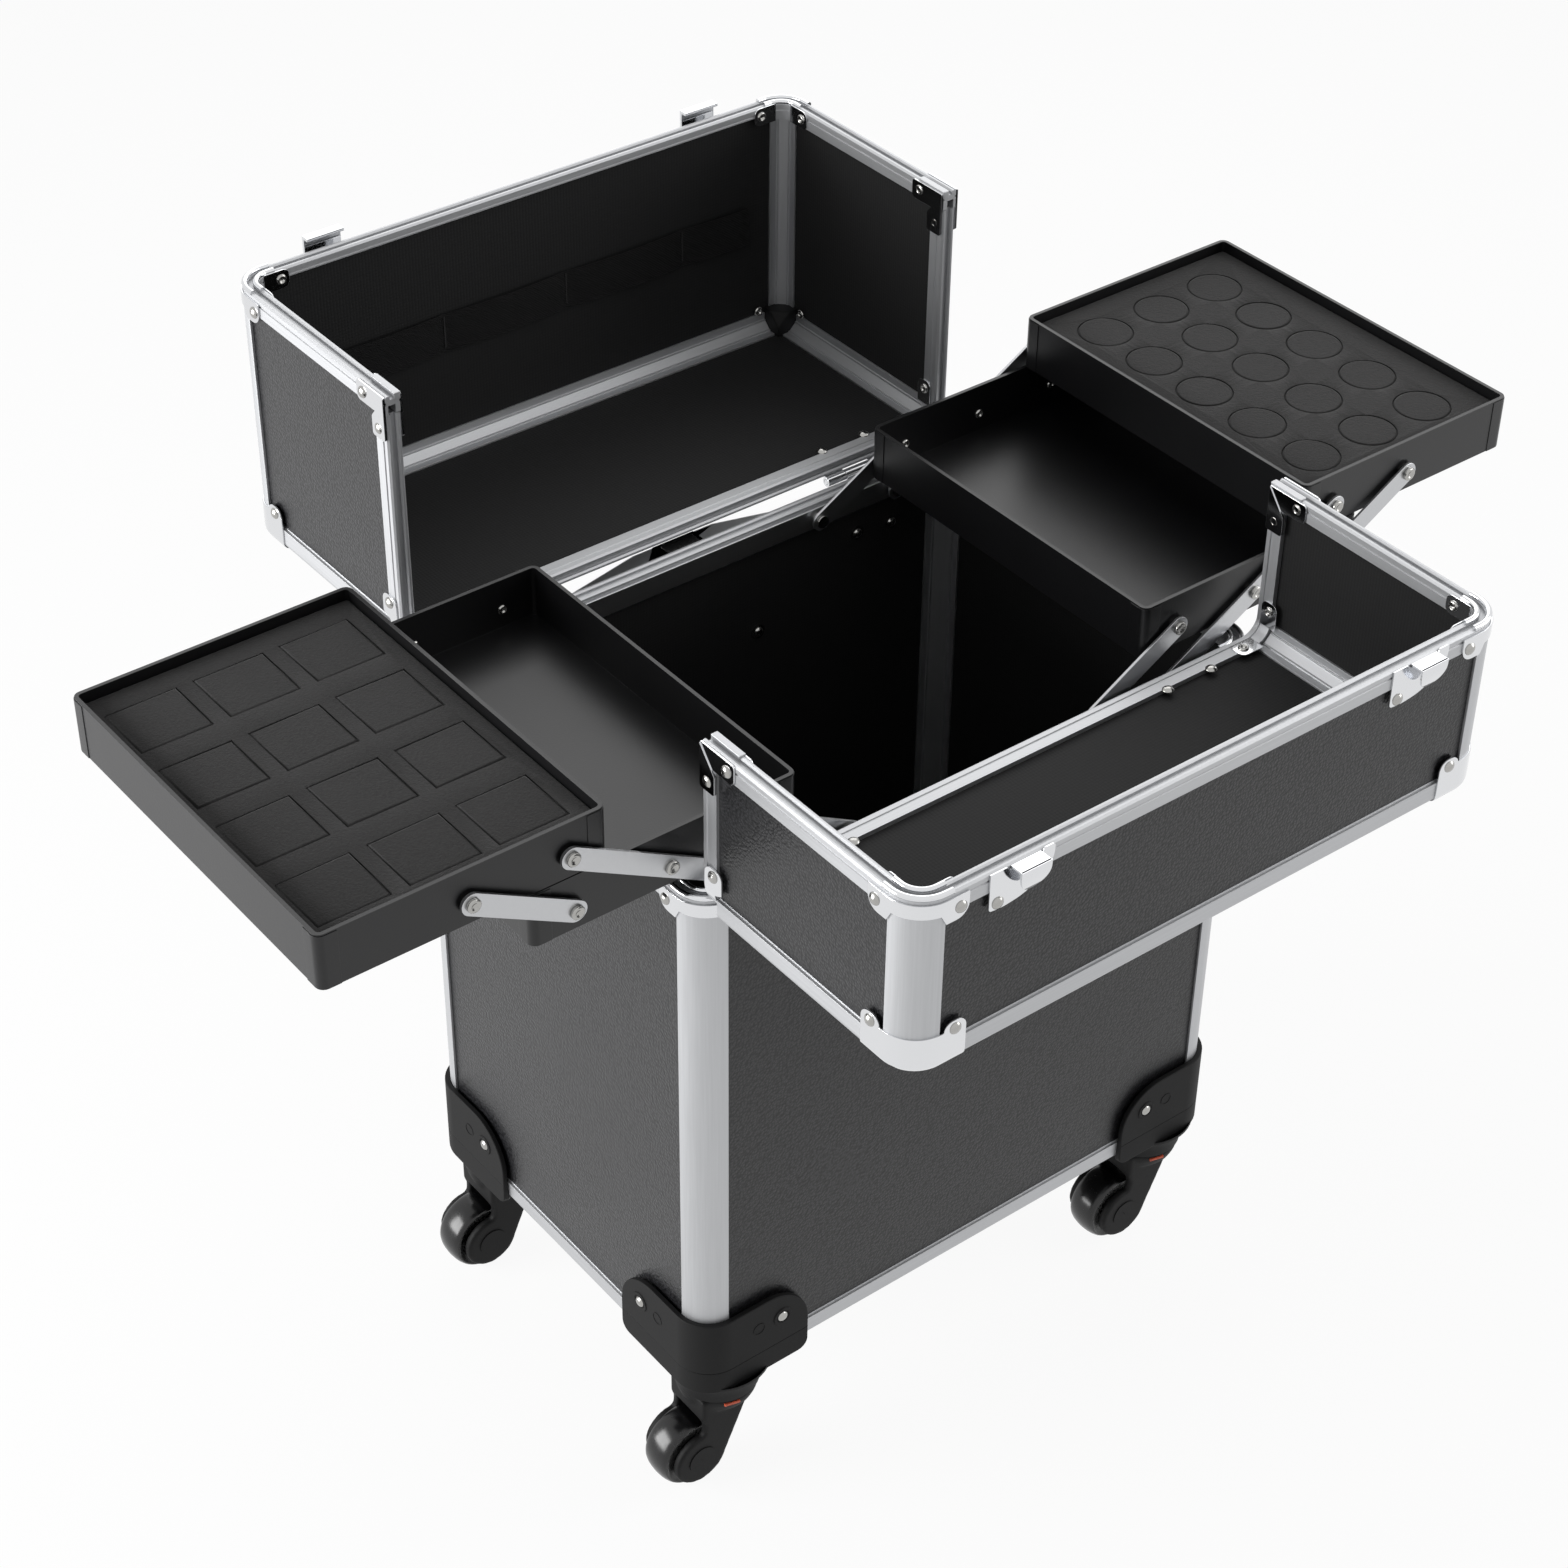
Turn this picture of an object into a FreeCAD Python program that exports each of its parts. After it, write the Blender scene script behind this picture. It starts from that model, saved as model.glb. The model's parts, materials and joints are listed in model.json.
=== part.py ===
"""Rolling makeup train case, open: clamshell lids swung out to the front and the rear, and a pair of
cantilever trays swung out to each side. Millimetres, Z up, X along the long side, front towards -Y,
origin on the floor under the middle of the case.
"""
import FreeCAD, Part
import math
import os
import Sketcher
from types import SimpleNamespace

SIZES = {
    # body: a box of panels between aluminium edges, standing on casters
    "case_len": 340,
    "case_dep": 235,
    "body_tall": 313,
    "leg_tall": 80,
    "panel_thk": 4,
    # round edge rails; the panels sit a little behind their outer faces, in slots
    "corner_round": 16.6,
    "panel_inset": 1.5,
    "slot_deep": 4.5,
    "rail_leg": 2.5,
    "rail_lip": 1.3,
    "rail_wall": 1.3,
    # double-lipped rims that close on each other
    "rim_thk": 8,
    "rim_flange": 10,
    "rim_inner": 14,
    "rim_web": 5,
    "groove_wide": 2.4,
    "groove_deep": 2,
    # lids, measured as they close: height, depth of the front one, and the seams that are left
    "lid_tall": 140,
    "front_lid_dep": 92,
    "lid_seam": 2,
    "rim_seam": 1,
    # hinges: pin axis outside the body's face, leaves, knuckles
    "hinge_off": 3,
    "hinge_gap": 13,
    "hinge_len": 40,
    "hinge_mid": 16,
    "leaf_thk": 1.2,
    "knuckle_round": 2.7,
    "pin_round": 1.5,
    "hinge_screw_in": 11,
    "running_fit": 0.05,
    "knuckle_gap": 0.3,
    # stamped corner fittings and their rivets
    "plate_thk": 1,
    "plate_tall": 12,
    "plate_drop": 2.5,
    "band_tall": 7,
    "ear_start": 14,
    "ear_end": 28,
    "ear_rivet_in": 4.5,
    "ball_reach": 30,
    "ball_tall": 18.5,
    "ball_ear": 12,
    "ball_ear_top": 22.5,
    "mitre_leg": 23.5,
    "mitre_wide": 10.5,
    "rivet_foot": 2.7,
    "rivet_crown": 1.5,
    "rivet_tall": 1.3,
    # trays
    "tray_mid_gap": 2,
    "tray_end_gap": 25.6,
    "tray_side_gap": 5,
    "tray_tall": 29,
    "tray_wall": 2,
    "tray_corner": 4,
    "tray_lift": 8,
    "tray_step": 0.6,
    "foam_drop": 5.5,
    "foam_gap": 0.3,
    # tray linkage: reach of one stage as a share of the tray, pivots measured from the tray's ends and floor
    "stage_share": 0.36,
    "pivot_end": 21,
    "pivot_up": 12,
    "arm_wide": 11,
    "arm_thk": 1.6,
    "arm_gap": 1.6,
    "arm_play": 0.1,
    "stud_round": 2,
    "stud_shoulder": 3.5,
    "stud_head": 1,
    "tray_rail_short": 3.4,
    "tray_rail_tall": 12,
    "tray_rail_thk": 1.5,
    "tray_rail_drop": 3,
    # latches
    "latch_gap": 9.4,
    "catch_len": 36,
    "catch_tall": 18.5,
    "catch_curl": 3,
    "catch_curl_len": 22,
    "hasp_len": 21,
    "hasp_pin": 1.25,
    "hasp_pin_drop": 18,
    "hasp_barrel": 2.6,
    "hasp_thk": 1.6,
    "hasp_over": 5,
    "hasp_ear": 2,
    "hasp_base_tall": 22,
    # casters
    "caster_in_x": 25,
    "caster_in_y": 21.5,
    "bracket_thk": 3,
    "bracket_fit": 0.2,
    "bracket_leg": 64,
    "bracket_up": 44,
    "bracket_floor": 4,
    "bracket_lobe": 26,
    "bracket_rivet_in": 47.5,
    "bracket_rivet_up": 28,
    "turret_round": 24,
    "turret_foot": 22,
    "turret_tall": 14,
    "kingpin_round": 5,
    "swivel_gap": 0.5,
    "fork_round": 21.5,
    "fork_neck": 11.5,
    "fork_leg": 4,
    "fork_boss": 12,
    "fork_top_half": 16,
    "wheel_round": 21,
    "wheel_wide": 18,
    "wheel_shoulder": 5,
    "wheel_play": 0.7,
    "trail": 20,
    "axle_round": 3,
    # telescopic handle on the rear
    "handle_place": 60,
    "handle_off": 10,
    "sleeve_round": 7,
    "sleeve_wall": 1.2,
    "tube_gap": 0.3,
    "tube_wall": 1,
    "sleeve_foot": 30,
    "sleeve_drop": 45,
    "mount_tall": 24,
    "mount_len": 150,
    "mount_dep": 19,
    "grip_len": 144,
    "grip_dep": 16,
    "grip_foot": 24,
    "grip_shoulder": 16,
    "grip_top": 7,
    "grip_rise_half": 25,
    "button_len": 20,
    "button_dep": 8,
    "button_deep": 8,
    "button_proud": 1.5,
    "button_gap": 0.5,
    "button_travel": 3,
}

doc = FreeCAD.newDocument("train_case")
sheet = doc.addObject("Spreadsheet::Sheet", "Sizes")
for row, (alias, number) in enumerate(SIZES.items(), 1):
    sheet.set(f"A{row}", alias)
    sheet.set(f"B{row}", str(number))
    sheet.setAlias(f"B{row}", alias)
doc.recompute()

VECTOR = FreeCAD.Vector
AXIS = {"x": VECTOR(1, 0, 0), "y": VECTOR(0, 1, 0), "z": VECTOR(0, 0, 1)}


class Size:
    """A length as an expression on the sheet's cells, with the value that it has now."""

    def __init__(self, text, value):
        self.text = text
        self.value = value

    def __add__(self, other):
        other = as_size(other)
        return Size(f"({self.text} + {other.text})", self.value + other.value)

    def __sub__(self, other):
        other = as_size(other)
        return Size(f"({self.text} - {other.text})", self.value - other.value)

    def __mul__(self, other):
        other = as_size(other)
        return Size(f"({self.text} * {other.text})", self.value * other.value)

    def __truediv__(self, part):
        return Size(f"({self.text} / {part})", self.value / part)

    def __neg__(self):
        return Size(f"(-1 * {self.text})", -self.value)


def as_size(value):
    return value if isinstance(value, Size) else Size(str(value), value)


ZERO = as_size(0)
d = SimpleNamespace(**{alias: Size(f"Sizes.{alias}", number) for alias, number in SIZES.items()})


def bind(obj, **sizes):
    """Ties properties of an object to sizes."""
    for name, value in sizes.items():
        obj.setExpression(name, as_size(value).text)
    return obj


def move(obj, x=0, y=0, z=0, turn=None):
    """Puts an object at a place tied to sizes, with a fixed turn."""
    obj.Placement = FreeCAD.Placement(VECTOR(), turn or FreeCAD.Rotation())
    for letter, value in zip("xyz", (x, y, z)):
        obj.setExpression(f"Placement.Base.{letter}", as_size(value).text)
    return obj


def box(size_x, size_y, size_z, x=0, y=0, z=0):
    block = bind(doc.addObject("Part::Box", "Block"), Length=size_x, Width=size_y, Height=size_z)
    return move(block, x, y, z)


def rod(radius, length, along, x=0, y=0, z=0):
    """A cylinder that starts at a place and runs along an axis."""
    cylinder = bind(doc.addObject("Part::Cylinder", "Rod"), Radius=radius, Height=length)
    return move(cylinder, x, y, z, FreeCAD.Rotation(AXIS["z"], AXIS[along]))


def taper(foot, crown, length, direction, x=0, y=0, z=0):
    """A cone frustum from its foot at a place, along a direction."""
    cone = bind(doc.addObject("Part::Cone", "Taper"), Radius1=foot, Radius2=crown, Height=length)
    return move(cone, x, y, z, FreeCAD.Rotation(AXIS["z"], direction))


def fuse(*pieces):
    union = doc.addObject("Part::MultiFuse", "Union")
    union.Shapes = list(pieces)
    union.Refine = True
    return union


def group(*pieces):
    """Separate solids kept side by side in one object."""
    bundle = doc.addObject("Part::Compound", "Group")
    bundle.Links = list(pieces)
    return bundle


def cut(base, *tools):
    result = doc.addObject("Part::Cut", "Cut")
    result.Base = base
    result.Tool = tools[0] if len(tools) == 1 else group(*tools)
    return result


def mirror(obj, axis):
    """The image of an object in the plane through the origin across an axis."""
    image = doc.addObject("Part::Mirroring", "Image")
    image.Source = obj
    image.Normal = AXIS[axis]
    return image


def pair(obj, axis):
    return [obj, mirror(obj, axis)]


def quad(obj):
    """An object and its images in both upright middle planes."""
    both = group(*pair(obj, "x"))
    return [both, mirror(both, "y")]


def arc(x, y, centre_x, centre_y, radius):
    """A path's next corner, reached along an arc."""
    return x, y, as_size(centre_x), as_size(centre_y), as_size(radius)


def draw_loop(sketch, path):
    """A closed loop through a path's corners, each tied to its sizes."""
    corners = [(as_size(step[0]), as_size(step[1])) for step in path]
    ends = []
    for index, step in enumerate(path):
        (x0, y0), (x1, y1) = corners[index - 1], corners[index]
        if len(step) == 2:
            line = Part.LineSegment(VECTOR(x0.value, y0.value), VECTOR(x1.value, y1.value))
            ends.append((sketch.addGeometry(line), 1, 2))
            continue
        centre_x, centre_y, radius = step[2:]
        first = math.atan2(y0.value - centre_y.value, x0.value - centre_x.value)
        last = math.atan2(y1.value - centre_y.value, x1.value - centre_x.value)
        backwards = (last - first) % (2 * math.pi) > math.pi
        if backwards:
            first, last = last, first
        circle = Part.Circle(VECTOR(centre_x.value, centre_y.value), AXIS["z"], radius.value)
        curve = sketch.addGeometry(Part.ArcOfCircle(circle, first, last))
        tie(sketch, Sketcher.Constraint("Radius", curve, radius.value), radius)
        ends.append((curve, 2, 1) if backwards else (curve, 1, 2))
    for index, (curve, start, end) in enumerate(ends):
        following, its_start, _ = ends[(index + 1) % len(ends)]
        sketch.addConstraint(Sketcher.Constraint("Coincident", curve, end, following, its_start))
        tie_point(sketch, curve, end, corners[index])


def draw_hole(sketch, x, y, radius):
    x, y, radius = as_size(x), as_size(y), as_size(radius)
    circle = Part.Circle(VECTOR(x.value, y.value), AXIS["z"], radius.value)
    curve = sketch.addGeometry(circle)
    tie(sketch, Sketcher.Constraint("Radius", curve, radius.value), radius)
    tie_point(sketch, curve, 3, (x, y))


def tie(sketch, constraint, size):
    number = sketch.addConstraint(constraint)
    sketch.setExpression(f"Constraints[{number}]", size.text)


def tie_point(sketch, curve, end, corner):
    for kind, size in zip(("DistanceX", "DistanceY"), corner):
        tie(sketch, Sketcher.Constraint(kind, -1, 1, curve, end, size.value), size)


def sketch_body(plane, loops, holes=()):
    """A body with one sketch of closed loops and round holes on one of its own planes."""
    body = doc.addObject("PartDesign::Body", "Piece")
    sketch = body.newObject("Sketcher::SketchObject", "Outline")
    support = next(item for item in body.Origin.OriginFeatures if item.Role == plane)
    sketch.AttachmentSupport = [(support, "")]
    sketch.MapMode = "FlatFace"
    for loop in loops:
        draw_loop(sketch, loop)
    for hole in holes:
        draw_hole(sketch, *hole)
    return body, sketch


def pad(loops, length, holes=(), plane="XY_Plane"):
    body, sketch = sketch_body(plane, loops, holes)
    feature = body.newObject("PartDesign::Pad", "Pad")
    feature.Profile = sketch
    bind(feature, Length=length)
    return body


def faces(x_dir, y_dir):
    """The turn that lays a section's own x and y along two given directions."""
    return FreeCAD.Rotation(x_dir, y_dir, x_dir.cross(y_dir), "ZXY")


nodes = {}


def node(label, obj):
    obj.Label = label
    nodes[label] = obj
    return obj


# Main levels and offsets that several pieces share
half_len = d.case_len / 2
half_dep = d.case_dep / 2
rim_top = d.leg_tall + d.body_tall
panel_in = d.panel_inset + d.panel_thk
panel_end = d.corner_round - d.slot_deep
rail_end = d.corner_round + d.rail_leg
hinge_lift = d.hinge_off + d.rim_seam / 2
hinge_y = half_dep + d.hinge_off
hinge_z = rim_top + d.rim_seam / 2
lid_edge = half_dep + hinge_lift
lid_base = rim_top + hinge_lift
lid_end = lid_edge + d.lid_tall
rear_lid_dep = d.case_dep - d.front_lid_dep - d.lid_seam
hinge_place = half_len - d.ear_end - d.hinge_gap - d.hinge_len / 2
latch_place = half_len - d.ear_end - d.latch_gap - d.catch_len / 2


def edge_rail(length):
    """Round edge extrusion, corner at the origin: quarter-round face, a lip behind each panel, a
    sloping web inside and a round chamber along its core."""
    round_, reach, lip = d.corner_round, rail_end, panel_in + d.rail_lip
    loop = [
        (0, round_),
        arc(round_, 0, round_, round_, round_),
        (round_, panel_in),
        (reach, panel_in),
        (reach, lip),
        (lip, reach),
        (panel_in, reach),
        (panel_in, round_),
    ]
    core = (panel_in + panel_end) / 2
    chamber = (panel_end - panel_in) * math.sqrt(0.5) - d.rail_wall
    return pad([loop], length, [(core, core, chamber)])


def rivet(direction, x, y, z):
    """A rivet's head, from the face that it sits on."""
    return taper(d.rivet_foot, d.rivet_crown, d.rivet_tall, direction, x, y, z)


# Body panels
wall_tall = d.body_tall - panel_end - d.rim_web
long_wall = (half_len - panel_end) * 2
short_wall = (half_dep - panel_end) * 2
wall_foot = d.leg_tall + panel_end
front_panel = node("body_front_panel", box(
    long_wall, d.panel_thk, wall_tall, -long_wall / 2, d.panel_inset - half_dep, wall_foot))
rear_panel = node("body_rear_panel", mirror(front_panel, "y"))
side_panels = node("body_side_panels", group(*pair(box(
    d.panel_thk, short_wall, wall_tall, d.panel_inset - half_len, -short_wall / 2, wall_foot), "x")))
floor_panel = node("body_floor_panel", box(
    long_wall, short_wall, d.panel_thk, -long_wall / 2, -short_wall / 2, d.leg_tall + d.panel_inset))

# Body edge rails: four upright corner posts and four bottom rails, slotted for the panels
post = move(edge_rail(d.body_tall - rail_end - d.rim_inner), -half_len, -half_dep, d.leg_tall + rail_end)
long_rail = move(edge_rail((half_len - rail_end) * 2), rail_end - half_len, -half_dep, d.leg_tall,
                 faces(AXIS["y"], AXIS["z"]))
short_rail = move(edge_rail((half_dep - rail_end) * 2), -half_len, rail_end - half_dep, d.leg_tall,
                  faces(AXIS["z"], AXIS["x"]))
body_panels = group(front_panel, rear_panel, side_panels, floor_panel)
node("body_edge_rails", group(
    *[cut(piece, body_panels) for piece in quad(post)],
    *[cut(piece, body_panels) for piece in pair(long_rail, "y") + pair(short_rail, "x")]))


def rounded_loop(x0, x1, y0, y1, round_):
    """A rectangle with round corners."""
    x0, x1, y0, y1 = (as_size(value) for value in (x0, x1, y0, y1))
    left, right, near, far = x0 + round_, x1 - round_, y0 + round_, y1 - round_
    return [
        (right, y0), arc(x1, near, right, near, round_),
        (x1, far), arc(right, y1, right, far, round_),
        (left, y1), arc(x0, far, left, far, round_),
        (x0, near), arc(left, y0, left, near, round_),
    ]


def ring_loop(inset):
    """The case's plan outline, set in from its outer faces."""
    x, y = half_len - inset, half_dep - inset
    return rounded_loop(-x, x, -y, y, d.corner_round - inset)


groove_in = (d.rim_thk - d.groove_wide) / 2


def rim(band):
    """A double-lipped rim, free edge at z = 0 and panels below, from a band between two insets."""
    upper = move(pad(band(ZERO, d.rim_thk), d.rim_flange), z=-d.rim_flange)
    lower = move(pad(band(panel_in, d.rim_thk), d.rim_inner - d.rim_flange), z=-d.rim_inner)
    groove = move(pad(band(groove_in, groove_in + d.groove_wide), d.groove_deep), z=-d.groove_deep)
    return cut(fuse(upper, lower), groove)


body_rim = move(group(rim(lambda outer, inner: [ring_loop(outer), ring_loop(inner)])), z=rim_top)
node("body_top_rim", cut(body_rim, front_panel, rear_panel, side_panels))


def corner_wrap():
    """A stamped corner plate for a rim, corner at the origin, free edge at z = 0: two riveted ears
    joined by a narrower band around the corner."""
    round_, end, thick = d.corner_round, d.ear_end, d.plate_thk
    loop = [
        (end, 0), (round_, 0), arc(0, round_, round_, round_, round_), (0, end),
        (-thick, end), (-thick, round_), arc(round_, -thick, round_, round_, round_ + thick),
        (end, -thick),
    ]
    strip = move(pad([loop], d.plate_tall), z=-(d.plate_drop + d.plate_tall))
    notch = d.ear_start + thick * 2
    below = box(notch, notch, d.plate_tall - d.band_tall, -thick * 2, -thick * 2,
                -(d.plate_drop + d.plate_tall))
    return cut(strip, below)


ear_rivet = d.ear_end - d.ear_rivet_in
ear_level = d.plate_drop + d.plate_tall / 2
wrap_rivets = [
    (ear_rivet, -d.plate_thk, -ear_level, -AXIS["y"]),
    (-d.plate_thk, ear_rivet, -ear_level, -AXIS["x"]),
]

node("body_rim_corner_plates", group(*quad(
    move(group(corner_wrap()), -half_len, -half_dep, rim_top))))


def hinge_leaf(middle):
    """One leaf of a hinge, pin along X at the origin: a plate below the pin, on a face at -Y, with its
    middle knuckle or its two outer ones."""
    gap, edge = d.knuckle_gap, d.hinge_len / 2
    top = -(d.knuckle_round + gap)
    foot = -(d.rim_flange + d.rim_seam / 2)
    plate = box(d.hinge_len, d.leaf_thk, top - foot, -edge, -d.hinge_off, foot)
    mid = d.hinge_mid / 2
    spans = [(-mid, d.hinge_mid)] if middle else [(-edge, edge - mid - gap), (mid + gap, edge - mid - gap)]
    knuckles = []
    for start, length in spans:
        knuckles.append(rod(d.knuckle_round, length, "x", start))
        knuckles.append(box(length, d.leaf_thk, -top, start, -d.hinge_off, top))
    bore = rod(d.pin_round + d.running_fit, d.hinge_len, "x", -edge)
    return cut(fuse(plate, *knuckles), bore)


leaf_rivet_x = (d.hinge_len + d.hinge_mid) / 4
leaf_rivet_z = d.rim_flange / 2 + d.knuckle_round / 2
rear_leaf = move(group(hinge_leaf(True)), hinge_place, hinge_y, hinge_z)
rear_pin = rod(d.pin_round, d.hinge_len, "x", hinge_place - d.hinge_len / 2, hinge_y, hinge_z)
node("body_hinges", group(*quad(rear_leaf), *quad(rear_pin)))

# Caster brackets: a moulded shell around each bottom corner with a turret for the fork
swivel_x = half_len - d.caster_in_x
swivel_y = half_dep - d.caster_in_y
bracket_in = d.corner_round + d.bracket_fit
bracket_out = d.bracket_fit + d.bracket_thk
turret_z = d.leg_tall - d.bracket_floor
shell_loop = [
    (d.bracket_leg, -d.bracket_fit), (d.corner_round, -d.bracket_fit),
    arc(-d.bracket_fit, d.corner_round, d.corner_round, d.corner_round, bracket_in),
    (-d.bracket_fit, d.bracket_leg), (-bracket_out, d.bracket_leg), (-bracket_out, d.corner_round),
    arc(d.corner_round, -bracket_out, d.corner_round, d.corner_round, bracket_in + d.bracket_thk),
    (d.bracket_leg, -bracket_out),
]
shell = pad([shell_loop], d.bracket_up + d.bracket_floor)
doc.recompute()
lobe_edges = [
    f"Edge{number}" for number, edge in enumerate(shell.Shape.Edges, 1)
    if abs(edge.Length - SIZES["bracket_thk"]) < 1e-6
    and edge.CenterOfMass.z > (SIZES["bracket_up"] + SIZES["bracket_floor"]) / 2]
plain_shell = shell.Tip
lobe = shell.newObject("PartDesign::Fillet", "Lobe")
lobe.Base = (plain_shell, lobe_edges)
bind(lobe, Radius=d.bracket_lobe)
move(shell, z=-d.bracket_floor)
foot_loop = [
    (d.bracket_leg, -d.bracket_fit), (d.corner_round, -d.bracket_fit),
    arc(-d.bracket_fit, d.corner_round, d.corner_round, d.corner_round, bracket_in),
    (-d.bracket_fit, d.bracket_leg),
]
foot = move(pad([foot_loop], d.bracket_floor), z=-d.bracket_floor)
turret = taper(d.turret_round, d.turret_foot, d.turret_tall, -AXIS["z"], d.caster_in_x, d.caster_in_y,
               -d.bracket_floor)
socket = rod(d.kingpin_round + d.running_fit, d.turret_tall, "z", d.caster_in_x, d.caster_in_y,
             -(d.bracket_floor + d.turret_tall))
bracket = move(group(cut(fuse(shell, foot, turret), socket)), -half_len, -half_dep, d.leg_tall)
node("caster_brackets", group(*quad(bracket)))

# Rivets of the body: rim corner plates, hinge leaves and caster brackets
bracket_rivet_z = d.leg_tall + d.bracket_rivet_up
body_rivets = [
    move(group(*[rivet(way, x, y, z) for x, y, z, way in wrap_rivets]), -half_len, -half_dep, rim_top),
    rivet(-AXIS["x"], -(half_len + bracket_out), d.bracket_rivet_in - half_dep, bracket_rivet_z),
    rivet(-AXIS["y"], d.bracket_rivet_in - half_len, -(half_dep + bracket_out), bracket_rivet_z),
]
body_rivets += [
    rivet(-AXIS["y"], side - hinge_place, -(half_dep + d.leaf_thk), hinge_z - leaf_rivet_z)
    for side in (-leaf_rivet_x, leaf_rivet_x)]
node("body_rivets", group(*[image for piece in body_rivets for image in quad(piece)]))

# Casters: a fork with its axle and a wheel under each bracket
fork_top = turret_z - d.turret_tall - d.swivel_gap
fork_inner = d.wheel_wide / 2 + d.wheel_play
fork_outer = fork_inner + d.fork_leg


def caster_fork(x, y):
    """A swivel fork with its kingpin, trailing towards -X, and the axle through its two legs."""
    neck_foot = fork_top - d.fork_neck
    boss_x, boss_z = -d.trail, d.wheel_round
    loop = [
        (d.fork_top_half, neck_foot), (d.fork_top_half, fork_top), (-d.fork_top_half, fork_top),
        (-d.fork_top_half, neck_foot), (boss_x - d.fork_boss, boss_z),
        arc(boss_x, boss_z - d.fork_boss, boss_x, boss_z, d.fork_boss),
        arc(boss_x + d.fork_boss, boss_z, boss_x, boss_z, d.fork_boss),
    ]
    hole = (boss_x, boss_z, d.axle_round + d.running_fit)
    leg = move(pad([loop], d.fork_leg, [hole], "XZ_Plane"), y=-fork_inner)
    neck = rod(d.fork_round, d.fork_neck, "z", z=neck_foot)
    kingpin = rod(d.kingpin_round, d.turret_tall, "z", z=fork_top)
    axle = rod(d.axle_round, fork_outer * 2, "y", boss_x, -fork_outer, boss_z)
    return move(group(fuse(neck, kingpin, *pair(leg, "y")), axle), x, y)


def caster_wheel(x, y):
    """A wheel with a rounded tread, turned about its bore."""
    side, shoulder, tread = d.wheel_wide / 2, d.wheel_shoulder, d.wheel_round
    bore = d.axle_round + d.running_fit
    loop = [
        (bore, -side), (tread - shoulder, -side),
        arc(tread, shoulder - side, tread - shoulder, shoulder - side, shoulder),
        (tread, side - shoulder),
        arc(tread - shoulder, side, tread - shoulder, side - shoulder, shoulder),
        (bore, side),
    ]
    body, sketch = sketch_body("XY_Plane", [loop])
    feature = body.newObject("PartDesign::Revolution", "Turned")
    feature.Profile = sketch
    feature.ReferenceAxis = (sketch, ["V_Axis"])
    feature.Angle = 360
    return move(group(body), x - d.trail, y, d.wheel_round)


for depth, y in (("front", -swivel_y), ("rear", swivel_y)):
    for side, x in (("left", -swivel_x), ("right", swivel_x)):
        node(f"caster_fork_{depth}_{side}", caster_fork(x, y))
        node(f"caster_wheel_{depth}_{side}", caster_wheel(x, y))


def lid_band(reach):
    """Loops of a three-sided rim band: x across the case, y from its open ends to its far side."""
    def band(outer, inner):
        near_x, near_y = half_len - d.corner_round, reach - d.corner_round
        loop = []
        for inset, side in ((outer, 1), (inner, -1)):
            x, y, round_ = half_len - inset, reach - inset, d.corner_round - inset
            loop += [
                (x * side, 0), (x * side, near_y), arc(near_x * side, y, near_x * side, near_y, round_),
                (near_x * -side, y), arc(x * -side, near_y, near_x * -side, near_y, round_), (x * -side, 0),
            ]
        return [loop]
    return band


def ball_corner():
    """A stamped ball corner, corner at the origin and the lid towards +X, +Y, +Z, with an ear on each
    upright face. Its three round edges meet in a ball, so it is made from two rounded blocks."""
    reach, tall, thick = SIZES["ball_reach"], SIZES["ball_tall"], SIZES["plate_thk"]
    round_, inset = SIZES["corner_round"], SIZES["panel_inset"]
    ear_top, ear_wide = SIZES["ball_ear_top"], SIZES["ball_ear"]

    def rounded(low, radius, over):
        block = Part.makeBox(reach - low + over, reach - low + over, tall - low + over, VECTOR(low, low, low))
        near = [edge for edge in block.Edges if edge.BoundBox.XMin + edge.BoundBox.YMin + edge.BoundBox.ZMin
                < 3 * low + 1e-6]
        return block.makeFillet(radius, near)

    cap = rounded(-thick, round_ + thick, 0).cut(rounded(0, round_, 1))
    start = reach - ear_wide
    ear = Part.makeBox(ear_wide, thick, ear_top - tall, VECTOR(start, -thick, tall))
    other = Part.makeBox(thick, ear_wide, ear_top - tall, VECTOR(-thick, start, tall))
    piece = doc.addObject("Part::Feature", "BallCorner")
    piece.Shape = cap.fuse([ear, other]).removeSplitter()
    return piece


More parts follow.
